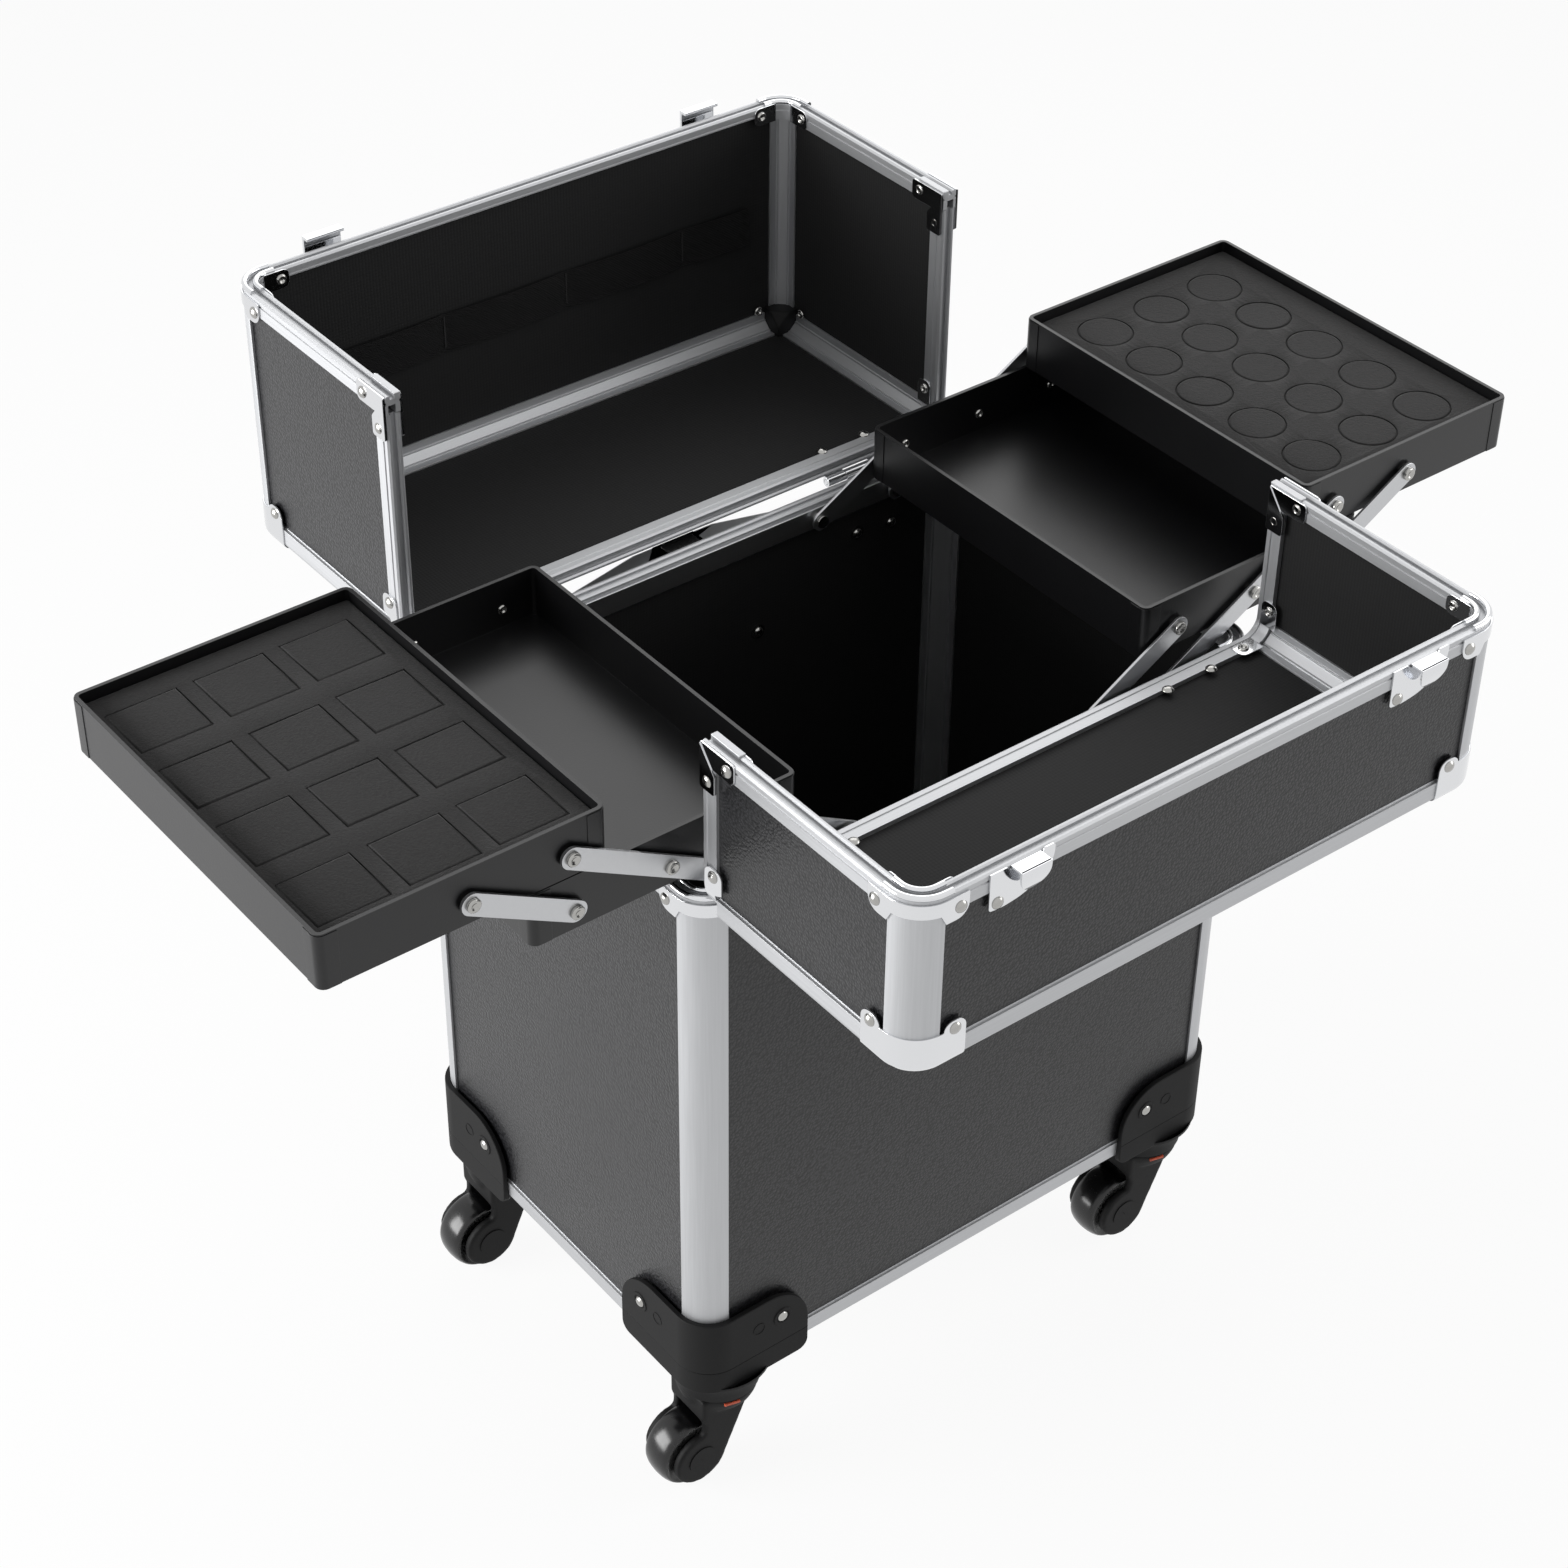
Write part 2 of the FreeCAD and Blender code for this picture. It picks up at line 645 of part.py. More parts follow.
def lid(name, depth, latch):
    """A lid, open, as the rear one lies: outwards from its hinge edge is +Y, and its depth is upwards. The
    front one is the image of such a lid."""
    top = lid_base + depth
    reach = d.lid_tall - panel_end - d.rim_web
    rise = depth - panel_end - d.rim_web
    wall = box(long_wall, reach, d.panel_thk, -long_wall / 2, lid_edge + d.rim_web, lid_base + d.panel_inset)
    far = box(long_wall, d.panel_thk, rise, -long_wall / 2, lid_end - panel_in, lid_base + panel_end)
    end = box(d.panel_thk, reach, rise, half_len - panel_in, lid_edge + d.rim_web, lid_base + panel_end)
    ends = group(*pair(end, "x"))
    panels = group(wall, far, ends)

    seam_rim = move(group(rim(lid_band(d.lid_tall))), 0, lid_edge, top)
    body_side_rim = move(group(rim(lid_band(depth - d.rim_inner))), 0, lid_edge, top - d.rim_inner,
                         faces(-AXIS["x"], -AXIS["z"]))
    rims = group(cut(seam_rim, panels), cut(body_side_rim, panels))

    end_rail = move(edge_rail(d.lid_tall - rail_end - d.rim_inner), half_len, lid_edge + d.rim_inner, lid_base,
                    faces(-AXIS["x"], AXIS["z"]))
    post_rail = move(edge_rail(depth - rail_end - d.rim_inner), half_len, lid_end, lid_base + rail_end,
                     faces(-AXIS["x"], -AXIS["y"]))
    far_rail = move(edge_rail((half_len - rail_end) * 2), rail_end - half_len, lid_end, lid_base,
                    faces(AXIS["z"], -AXIS["y"]))
    side_rails = group(*pair(group(end_rail, post_rail), "x"))
    rails = group(cut(side_rails, panels), cut(far_rail, panels))

    seam_place = (half_len, lid_end, top, faces(-AXIS["x"], -AXIS["y"]))
    edge_place = (half_len, lid_edge, lid_base, faces(AXIS["z"], -AXIS["x"]))
    ball_place = (half_len, lid_end, lid_base, FreeCAD.Rotation(AXIS["z"], 180))
    mitre = fuse(box(d.plate_thk, d.mitre_leg, d.mitre_wide, half_len, lid_edge, top - d.mitre_wide),
                 box(d.plate_thk, d.mitre_wide, d.mitre_leg, half_len, lid_edge, top - d.mitre_leg))
    corners = group(move(group(corner_wrap()), *seam_place), move(group(corner_wrap()), *edge_place),
                    move(group(ball_corner()), *ball_place), mitre)

    ball_rivet = d.ball_reach - d.ball_ear / 2
    ball_heads = group(rivet(-AXIS["y"], ball_rivet, -d.plate_thk, d.ball_tall),
                       rivet(-AXIS["x"], -d.plate_thk, ball_rivet, d.ball_tall))
    mitre_x, mitre_mid = half_len + d.plate_thk, d.mitre_wide / 2
    heads = [
        *[move(group(*[rivet(way, x, y, z) for x, y, z, way in wrap_rivets]), *place)
          for place in (seam_place, edge_place)],
        move(ball_heads, *ball_place),
        rivet(AXIS["x"], mitre_x, lid_edge + d.mitre_leg - mitre_mid, top - mitre_mid),
        rivet(AXIS["x"], mitre_x, lid_edge + mitre_mid, top - d.mitre_leg + mitre_mid),
    ]
    for side in (-leaf_rivet_x, leaf_rivet_x):
        heads.append(rivet(-AXIS["z"], hinge_place + side, hinge_y + leaf_rivet_z, lid_base - d.leaf_thk))
        heads.append(rivet(AXIS["z"], hinge_place + side, lid_edge + d.hinge_screw_in, lid_base + d.rim_thk))
    leaf = move(group(hinge_leaf(False)), hinge_place, hinge_y, hinge_z, faces(-AXIS["x"], -AXIS["z"]))

    pieces = {
        "wall_panel": wall, "top_panel": far, "end_panels": ends, "edge_rails": rails, "rims": rims,
        "corner_fittings": group(*pair(corners, "x")), "rivets": group(*pair(group(*heads), "x")),
        "hinge_leaves": group(*pair(leaf, "x")), "latch_plates": group(*pair(latch(top), "x")),
    }
    for words, piece in pieces.items():
        node(f"{name}_{words}", mirror(piece, "y") if name == "front_lid" else piece)


def catch(top):
    """A latch catch on the far face of a lid: a plate with a rolled lip along its upper edge."""
    upper = top - d.plate_thk
    plate = box(d.catch_len, d.leaf_thk, d.catch_tall, latch_place - d.catch_len / 2, lid_end,
                upper - d.catch_tall)
    curl = rod(d.catch_curl, d.catch_curl_len, "x", latch_place - d.catch_curl_len / 2,
               lid_end + d.leaf_thk / 2 + d.catch_curl, upper - d.catch_curl)
    return fuse(plate, curl)


hasp_y = lid_end + d.leaf_thk + d.knuckle_gap + d.hasp_barrel
hasp_side = d.hasp_len / 2 + d.knuckle_gap


def hasp_base(top):
    """A latch base on the far face of a lid: a plate with two ears that hold the hasp's pin."""
    pin_z = top - d.hasp_pin_drop
    width = (hasp_side + d.hasp_ear) * 2
    left = latch_place - width / 2
    plate = box(width, d.leaf_thk, d.hasp_base_tall, left, lid_end, pin_z - d.hasp_base_tall / 3)
    ear = d.hasp_barrel
    ears = [box(d.hasp_ear, hasp_y + ear - lid_end, ear * 2, latch_place + x, lid_end, pin_z - ear)
            for x in (hasp_side, -(hasp_side + d.hasp_ear))]
    pin = rod(d.hasp_pin, width, "x", left, hasp_y, pin_z)
    return fuse(plate, pin, *ears)


def hasp(top):
    """The swinging hasp: a barrel on the pin, a plate up past the rim and a hooked end."""
    pin_z = top - d.hasp_pin_drop
    left = latch_place - d.hasp_len / 2
    tip = top + d.hasp_over
    barrel = rod(d.hasp_barrel, d.hasp_len, "x", left, hasp_y, pin_z)
    plate = box(d.hasp_len, d.hasp_thk, tip - pin_z, left, hasp_y + d.hasp_barrel - d.hasp_thk, pin_z)
    hook = box(d.hasp_len, d.hasp_barrel * 2, d.hasp_thk, left, hasp_y - d.hasp_barrel, tip - d.hasp_thk)
    bore = rod(d.hasp_pin + d.running_fit, d.hasp_len, "x", left, hasp_y, pin_z)
    return cut(fuse(barrel, plate, hook), bore)


lid("front_lid", d.front_lid_dep, catch)
lid("rear_lid", rear_lid_dep, hasp_base)
right_hasp = node("hasp_right", hasp(lid_base + rear_lid_dep))
node("hasp_left", mirror(right_hasp, "x"))

# Tray linkage: the trays meet over the middle when folded in; pivot places, and layers from the trays'
# walls out to the rails on the rims
tray_len = half_len - d.tray_mid_gap - d.tray_end_gap
stage_run = tray_len * d.stage_share
two_stages = stage_run * 2
tray_out = d.tray_mid_gap + two_stages
stage_rise = d.tray_tall + d.tray_step
stage_pitch = Size(f"hypot({stage_run.text}; {stage_rise.text})",
                   math.hypot(stage_run.value, stage_rise.value))
lower_floor = rim_top + d.tray_lift
lower_pivot_z = lower_floor + d.pivot_up
body_pivot_z = lower_pivot_z - stage_rise
upper_pivot_z = lower_pivot_z + stage_rise
base_x, long_x, top_x = tray_out + d.pivot_end, tray_out + tray_len / 2, tray_out + tray_len - d.pivot_end
rail_face = half_dep - d.rim_thk - d.tray_rail_thk
tray_side = rail_face - d.tray_side_gap
tray_dep = tray_side * 2
arm_in = tray_side + d.arm_gap
arm_out = arm_in + d.arm_thk
pivot_hole = d.stud_round + d.running_fit


def tray(x, z, pivots):
    """An open tray with pivot holes through its front and rear walls."""
    inset = d.tray_wall
    outer = pad([rounded_loop(x, x + tray_len, -tray_side, tray_side, d.tray_corner)], d.tray_tall)
    inner = pad([rounded_loop(x + inset, x + tray_len - inset, inset - tray_side, tray_side - inset,
                              d.tray_corner - inset)], d.tray_tall)
    holes = [rod(pivot_hole, tray_dep, "y", place, -tray_side, z + d.pivot_up) for place in pivots]
    return cut(move(outer, z=z), move(inner, z=z + inset), *holes)


def foam(x, z):
    """A foam insert that fills a tray to a little below its edge."""
    inset = d.tray_wall + d.foam_gap
    block = pad([rounded_loop(x + inset, x + tray_len - inset, inset - tray_side, tray_side - inset,
                              d.tray_corner - d.tray_wall)], d.tray_tall - d.tray_wall - d.foam_drop)
    return move(block, z=z + d.tray_wall)


def tray_stud(x, z):
    """A shouldered pivot rivet through a tray's front wall, headed outside the arm."""
    shank = tray_side - d.tray_wall
    head_y = arm_out + d.arm_play
    return fuse(rod(d.stud_round, head_y - shank, "y", x, -head_y, z),
                rod(d.stud_shoulder, d.arm_gap - d.arm_play, "y", x, d.arm_play - arm_in, z),
                rod(d.stud_shoulder, d.stud_head, "y", x, -(head_y + d.stud_head), z))


def tray_studs(pivots, z):
    return group(*[image for x in pivots for image in pair(tray_stud(x, z), "y")])


def rail_stud(x):
    """A shouldered pivot rivet on the front tray rail, headed inside the arm."""
    head_y = arm_in - d.arm_play
    return fuse(rod(d.stud_round, rail_face - head_y, "y", x, -rail_face, body_pivot_z),
                rod(d.stud_shoulder, rail_face - arm_out - d.arm_play, "y", x, -rail_face, body_pivot_z),
                rod(d.stud_shoulder, d.stud_head, "y", x, -head_y, body_pivot_z))


def arms(x, z, stages):
    """A pair of straight arms with round ends, from a pivot up and outwards over one or two stages."""
    half = d.arm_wide / 2
    end = stage_pitch * stages
    loop = [
        (end, -half), arc(end + half, 0, end, 0, half), arc(end, half, end, 0, half),
        (0, half), arc(-half, 0, 0, 0, half), arc(0, -half, 0, 0, half),
    ]
    holes = [(stage_pitch * stage, 0, pivot_hole) for stage in range(stages + 1)]
    arm = pad([loop], d.arm_thk, holes, "XZ_Plane")
    move(arm, x, -arm_in, z, FreeCAD.Rotation(-AXIS["y"], 1))
    arm.setExpression("Placement.Rotation.Angle", f"atan2({stage_rise.text}; {stage_run.text})")
    return group(*pair(arm, "y"))


tray_rail_len = (half_len - d.corner_round - d.tray_rail_short) * 2
tray_rail = box(tray_rail_len, d.tray_rail_thk, d.tray_rail_tall, -tray_rail_len / 2,
                -(rail_face + d.tray_rail_thk), rim_top - d.tray_rail_drop - d.tray_rail_tall)
node("tray_rails", group(*pair(tray_rail, "y")))
node("tray_rail_studs", group(*[
    image for x in (base_x, long_x) for image in quad(rail_stud(x - stage_run))]))

lower_pivots = (base_x, long_x, top_x)
upper_pivots = (long_x + stage_run, top_x + stage_run)
right_side = {
    "lower_tray": tray(tray_out, lower_floor, lower_pivots),
    "lower_tray_studs": tray_studs(lower_pivots, lower_pivot_z),
    "upper_tray": tray(tray_out + two_stages, lower_floor + stage_rise, upper_pivots),
    "upper_tray_studs": tray_studs(upper_pivots, upper_pivot_z),
    "foam": foam(tray_out + two_stages, lower_floor + stage_rise),
    "base_arms": arms(base_x - stage_run, body_pivot_z, 1),
    "long_arms": arms(long_x - stage_run, body_pivot_z, 2),
    "top_arms": arms(top_x, lower_pivot_z, 1),
}
for words, piece in right_side.items():
    node(f"right_{words}", piece)
    node(f"left_{words}", mirror(piece, "x"))

# Telescopic handle, stowed behind the rear wall: fixed sleeves in two mounts, tubes, grip and release button
handle_y = half_dep + d.handle_off
sleeve_foot = d.leg_tall + d.sleeve_foot
sleeve_top = rim_top - d.sleeve_drop
grip_foot = rim_top - d.grip_foot
grip_top = rim_top - d.grip_top
tube_round = d.sleeve_round - d.sleeve_wall - d.tube_gap


def pipe(outer, wall, foot, top):
    """The right one of a pair of upright pipes."""
    return cut(rod(outer, top - foot, "z", d.handle_place, handle_y, foot),
               rod(outer - wall, top - foot, "z", d.handle_place, handle_y, foot))


mount_seats = [rod(d.sleeve_round + d.running_fit, sleeve_top - sleeve_foot, "z", x, handle_y, sleeve_foot)
               for x in (-d.handle_place, d.handle_place)]
mount_blocks = [box(d.mount_len, d.mount_dep, d.mount_tall, -d.mount_len / 2, half_dep - d.panel_inset, z)
                for z in (sleeve_foot, sleeve_top - d.mount_tall)]
sleeve = pipe(d.sleeve_round, d.sleeve_wall, sleeve_foot, sleeve_top)
node("handle_sleeves", group(*pair(sleeve, "x"), *[cut(block, *mount_seats) for block in mount_blocks]))
node("handle_tubes", group(*pair(pipe(tube_round, d.tube_wall, sleeve_foot, grip_foot), "x")))
grip_end = d.grip_len / 2
grip_loop = [
    (-grip_end, grip_foot), (grip_end, grip_foot), (grip_end, rim_top - d.grip_shoulder),
    (d.grip_rise_half, grip_top), (-d.grip_rise_half, grip_top), (-grip_end, rim_top - d.grip_shoulder),
]
grip = move(pad([grip_loop], d.grip_dep, plane="XZ_Plane"), y=handle_y + d.grip_dep / 2)
button_slot = box(d.button_len + d.button_gap * 2, d.button_dep + d.button_gap * 2, d.button_deep,
                  -(d.button_len / 2 + d.button_gap), handle_y - d.button_dep / 2 - d.button_gap,
                  grip_top - d.button_deep)
node("handle_grip", cut(grip, button_slot))
node("handle_button", box(
    d.button_len, d.button_dep, d.button_deep - d.button_travel + d.button_proud, -d.button_len / 2,
    handle_y - d.button_dep / 2, grip_top - d.button_deep + d.button_travel))

doc.recompute()
failed = [item.Label for item in doc.Objects if {"Invalid", "Error"} & set(item.State)]
bad = [label for label, piece in nodes.items() if piece.Shape.isNull() or not piece.Shape.isValid()]
if failed or bad:
    raise RuntimeError(f"failed: {failed}; not valid: {bad}")
os.makedirs("parts", exist_ok=True)
for label, piece in nodes.items():
    piece.Shape.exportStep(f"parts/{label}.step")
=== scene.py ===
import json
import math
import bmesh
import bpy
from mathutils import Matrix, Vector

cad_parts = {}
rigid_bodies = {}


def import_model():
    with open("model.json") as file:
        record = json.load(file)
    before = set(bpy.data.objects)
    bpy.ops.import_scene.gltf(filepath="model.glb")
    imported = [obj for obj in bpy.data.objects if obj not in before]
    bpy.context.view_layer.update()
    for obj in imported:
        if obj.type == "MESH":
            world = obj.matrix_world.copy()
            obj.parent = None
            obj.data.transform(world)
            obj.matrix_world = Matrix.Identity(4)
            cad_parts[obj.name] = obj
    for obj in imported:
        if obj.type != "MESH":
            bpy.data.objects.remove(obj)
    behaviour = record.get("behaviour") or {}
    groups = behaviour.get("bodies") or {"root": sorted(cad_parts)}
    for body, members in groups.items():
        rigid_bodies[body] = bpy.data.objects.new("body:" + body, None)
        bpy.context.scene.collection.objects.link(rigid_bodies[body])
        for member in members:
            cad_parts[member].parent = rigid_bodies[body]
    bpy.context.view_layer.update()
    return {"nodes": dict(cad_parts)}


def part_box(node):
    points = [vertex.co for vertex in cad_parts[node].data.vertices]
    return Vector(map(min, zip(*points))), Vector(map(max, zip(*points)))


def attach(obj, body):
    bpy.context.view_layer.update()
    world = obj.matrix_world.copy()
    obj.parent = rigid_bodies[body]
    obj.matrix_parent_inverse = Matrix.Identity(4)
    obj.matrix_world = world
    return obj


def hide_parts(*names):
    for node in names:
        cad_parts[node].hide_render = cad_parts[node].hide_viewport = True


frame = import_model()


# Panels of the body and the two lids: hardboard faced with black vinyl that is embossed with a fine
# leather grain, cut square and pushed into the slots of the aluminium edges.
def linear(colour):
    """An sRGB hex colour as the linear numbers that a shader takes."""
    parts = [int(colour[i:i + 2], 16) / 255 for i in (1, 3, 5)]
    return [c / 12.92 if c <= 0.04045 else ((c + 0.055) / 1.055) ** 2.4 for c in parts] + [1.0]


def add(material, kind, inputs=(), **settings):
    """Adds a node to a material, with its settings and what goes into its sockets."""
    tree = material.node_tree
    node = tree.nodes.new("ShaderNode" + kind)
    for name, value in settings.items():
        setattr(node, name, value)
    for name, value in dict(inputs).items():
        if isinstance(value, bpy.types.NodeSocket):
            tree.links.new(value, node.inputs[name])
        else:
            node.inputs[name].default_value = value
    return node.outputs


def bare(name):
    """A material with no nodes yet."""
    material = bpy.data.materials.new(name)
    material.use_nodes = True
    material.node_tree.nodes.clear()
    return material


# Embossed vinyl: pebbles of half a millimetre, drawn at 1.4 mm to show, under a satin skin. The pebbles break
# the reflected light into fine sparkle, and their tops are painted lighter grey than the valleys, a painted highlight
# over painted shade; the skin clouds a little over a hand's width. Inside, deeper than the board's own middle, a dull
# woven lining takes its place, with threads of 0.6 mm drawn at 1.8 mm.
LINED_DEPTH = 0.0035
BODY_PANELS = ("front_panel", "rear_panel", "floor_panel", "side_panels")
LID_PANELS = ("wall_panel", "top_panel", "end_panels")
BOXES = {"body": ((0, 0, 0.2365), (0.170, 0.1175, 0.1565), BODY_PANELS),
         "front_lid": ((0, -0.191, 0.4425), (0.170, 0.070, 0.046), LID_PANELS),
         "rear_lid": ((0, 0.191, 0.467), (0.170, 0.070, 0.0705), LID_PANELS)}
for body, (middle, half, panels) in BOXES.items():
    vinyl = bare(f"embossed_vinyl_{body}")
    place = add(vinyl, "TexCoord")["Object"]
    inward = add(vinyl, "VectorMath", {0: place, 1: middle}, operation="SUBTRACT")["Vector"]
    inward = add(vinyl, "VectorMath", {0: inward}, operation="ABSOLUTE")["Vector"]
    inward = add(vinyl, "VectorMath", {0: half, 1: inward}, operation="SUBTRACT")["Vector"]
    inward = add(vinyl, "SeparateXYZ", {"Vector": inward})
    depth = add(vinyl, "Math", {0: inward["X"], 1: inward["Y"]}, operation="MINIMUM")[0]
    depth = add(vinyl, "Math", {0: depth, 1: inward["Z"]}, operation="MINIMUM")[0]
    lined = add(vinyl, "Math", {0: depth, 1: LINED_DEPTH}, operation="GREATER_THAN")[0]
    pebble = add(vinyl, "TexVoronoi", {"Vector": place, "Scale": 1 / 0.0014})["Distance"]
    thread = add(vinyl, "TexVoronoi", {"Vector": place, "Scale": 1 / 0.0018, "Randomness": 0.15})["Distance"]
    cloud = add(vinyl, "TexNoise", {"Vector": place, "Scale": 1 / 0.08, "Detail": 3.0})["Fac"]
    tint = add(vinyl, "Mix", {0: cloud, 6: linear("#0e0e0f"), 7: linear("#141416")}, data_type="RGBA")[2]
    # Pebble tops are painted a lighter grey than the valleys between them: a painted highlight on the tops and painted
    # shade in the valleys.
    painted_pebble_shading = add(vinyl, "MapRange", {"Value": pebble, "From Min": 0.2, "From Max": 0.7})["Result"]
    tint = add(vinyl, "Mix", {0: painted_pebble_shading, 6: linear("#2c2c2e"), 7: tint}, data_type="RGBA")[2]
    weave = add(vinyl, "Mix", {0: thread, 6: linear("#131314"), 7: linear("#040404")}, data_type="RGBA")[2]
    tint = add(vinyl, "Mix", {0: lined, 6: tint, 7: weave}, data_type="RGBA")[2]
    gloss = add(vinyl, "MapRange", {"Value": cloud, "To Min": 0.26, "To Max": 0.34})["Result"]
    gloss = add(vinyl, "Mix", {0: lined, 2: gloss, 3: 0.75})[0]
    height = add(vinyl, "Mix", {0: lined, 2: pebble, 3: thread})[0]
    relief = add(vinyl, "Bump", {"Height": height, "Strength": 0.4, "Distance": 0.0004}, invert=True)["Normal"]
    skin = add(vinyl, "BsdfPrincipled", {"Base Color": tint, "Roughness": gloss, "Normal": relief, "IOR": 1.53,
                                         "Specular IOR Level": 0.33})
    add(vinyl, "OutputMaterial", {"Surface": skin["BSDF"]})
    for panel in panels:
        slots = frame["nodes"][f"{body}_{panel}"].data.materials
        slots.clear()
        slots.append(vinyl)


# Edge rails: aluminium extrusions with slots for two panels, and inside a flat web across the corner between two
# lips, which are shorter in the lids. The upright posts have a big quarter-round face, the level rails a nearly
# square one. Sawn to length and held by the corner fittings.
HALF_LEN, HALF_DEP, LEG, RIM_TOP = 170.0, 117.5, 80.0, 393.0
LID_EDGE, LID_END, LID_BASE = 121.0, 261.0, 396.5
LIDS = {"front_lid": (-1, 488.5), "rear_lid": (1, 537.5)}
X, Y, Z = Vector((1, 0, 0)), Vector((0, 1, 0)), Vector((0, 0, 1))
RAIL_END, LID_RAIL_END, RIM_TALL = 19.1, 16.0, 10.0
POST = {"face": 16.6, "radius": 16.0}


def outline(corners):
    """A flat face through a few corners, in millimetres, in the XY plane."""
    shape = bmesh.new()
    shape.faces.new([shape.verts.new((x, y, 0)) for x, y in corners])
    return shape


def bevelled(shape, geometry, width, segments, affect="EDGES", clamp=False):
    """Bevels some edges or corners of a shape."""
    bmesh.ops.bevel(shape, geom=geometry, offset=width, affect=affect, segments=segments, profile=0.5, material=-1,
                    clamp_overlap=clamp)
    return shape


def rounded(shape, radii, segments=6):
    """Rounds corners of a flat face, each to its own radius."""
    shape.verts.ensure_lookup_table()
    for corner, radius in [(shape.verts[i], radius) for i, radius in radii.items()]:
        bevelled(shape, [corner], radius, segments, "VERTICES")
    return shape


def kept(geometry, kind):
    """Only the vertices, only the edges or only the faces among what an operator made."""
    return [part for part in geometry if isinstance(part, kind)]


def facing_out(shape):
    """Turns a shape's faces outwards."""
    bmesh.ops.recalc_face_normals(shape, faces=shape.faces)
    return shape


def raised(shape, height):
    """Gives flat faces a height along Z."""
    grown = bmesh.ops.extrude_face_region(shape, geom=shape.faces[:])["geom"]
    bmesh.ops.translate(shape, vec=Z * height, verts=kept(grown, bmesh.types.BMVert))
    return facing_out(shape)


def eased(shape, width, segments=2):
    """Breaks the edges that are sharper than 30 degrees."""
    sharp = [e for e in shape.edges if e.is_manifold and e.calc_face_angle() > math.radians(30)]
    return bevelled(shape, sharp, width, segments, clamp=True)


def stamped(corners, radii, height, width=0.25, segments=6):
    """A plate with rounded corners and broken edges."""
    return eased(raised(rounded(outline(corners), radii, segments), height), width)


def laid(shape, corner, one, other, up):
    """Lays a shape's own X, Y and Z along three directions at a corner."""
    turn = Matrix((one, other, up)).transposed()
    bmesh.ops.transform(shape, matrix=Matrix.Translation(corner) @ turn.to_4x4(), verts=shape.verts)
    if turn.determinant() < 0:
        bmesh.ops.reverse_faces(shape, faces=shape.faces)
    return shape


def gathered(shapes):
    """Several shapes in one mesh."""
    whole = bmesh.new()
    for shape in shapes:
        part = bpy.data.meshes.new("part")
        shape.to_mesh(part)
        shape.free()
        whole.from_mesh(part)
        bpy.data.meshes.remove(part)
    return whole


in_scene = bpy.context.scene.collection.objects


def piece(name, shape, material, body, slot, *replaced, crease=35):
    """Makes a shape a piece of the case that moves with a body and stands for CAD nodes."""
    bmesh.ops.scale(shape, vec=(0.001, 0.001, 0.001), verts=shape.verts)
    mesh = bpy.data.meshes.new(name)
    shape.to_mesh(mesh)
    shape.free()
    mesh.shade_smooth()
    mesh.set_sharp_from_angle(angle=math.radians(crease))
    for finish in material if isinstance(material, list) else [material]:
        mesh.materials.append(finish)
    made = bpy.data.objects.new(name, mesh)
    in_scene.link(made)
    made.modifiers.new("even_faces", "WEIGHTED_NORMAL").keep_sharp = True
    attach(made, body)
    if replaced:
        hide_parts(*replaced)
    return made


def rail(low, high, one, other, lip=RAIL_END, face=11.2, radius=3.5):
    """A rail between two ends along an edge; the panels lie in two directions from the edge."""
    run = Vector(high) - Vector(low)
    half = [(face, 0), (face, 1.5), (12.1, 1.5), (12.1, 5.5), (lip, 5.5), (lip, 6.8), (lip - 3.9, 6.8),
            (lip - 3.9, 7.6), (lip - 4.9, 7.6)]
    section = [(0, 0), *half, *[(down, across) for across, down in half[::-1]]]
    return laid(stamped(section, {0: radius}, run.length, segments=14), low, one, other, run.normalized())


# Satin anodised aluminium: fine draw lines along the extrusion, 0.3 mm apart and drawn at 0.9 mm to show.
# They spread the highlight across the rail and leave faint lengthwise streaks.
satin = {}
for axis, stretch in {"x": (0.02, 1, 1), "y": (1, 0.02, 1), "z": (1, 1, 0.02)}.items():
    metal = satin[axis] = bare(f"satin_anodised_aluminium_{axis}")
    place = add(metal, "TexCoord")["Object"]
    place = add(metal, "Mapping", {"Vector": place, "Scale": stretch})["Vector"]
    line = add(metal, "TexNoise", {"Vector": place, "Scale": 1 / 0.0009, "Detail": 2.0})["Fac"]
    tint = add(metal, "Mix", {0: line, 6: linear("#b0b1b3"), 7: linear("#bebfc1")}, data_type="RGBA")[2]
    gloss = add(metal, "MapRange", {"Value": line, "To Min": 0.48, "To Max": 0.58})["Result"]
    relief = add(metal, "Bump", {"Height": line, "Strength": 0.06, "Distance": 0.0002})["Normal"]
    skin = add(metal, "BsdfPrincipled", {"Base Color": tint, "Metallic": 1.0, "Roughness": gloss, "Normal": relief})
    add(metal, "OutputMaterial", {"Surface": skin["BSDF"]})

posts, long_rails, short_rails = [], [], []
for x in (-1, 1):
    for y in (-1, 1):
        edge = X * x * HALF_LEN + Y * y * HALF_DEP
        posts.append(rail(edge + Z * (LEG + RAIL_END), edge + Z * (RIM_TOP - RIM_TALL), X * -x, Y * -y, **POST))
    long_rails.append(rail((RAIL_END - HALF_LEN, x * HALF_DEP, LEG), (HALF_LEN - RAIL_END, x * HALF_DEP, LEG),
                           Y * -x, Z))
    short_rails.append(rail((x * HALF_LEN, RAIL_END - HALF_DEP, LEG), (x * HALF_LEN, HALF_DEP - RAIL_END, LEG),
                            X * -x, Z))
for kind, shapes, axis in (("corner_posts", posts, "z"), ("long_rails", long_rails, "x"),
                           ("short_rails", short_rails, "y")):
    piece(f"body_{kind}", gathered(shapes), satin[axis], "case", "aluminium", "body_edge_rails")

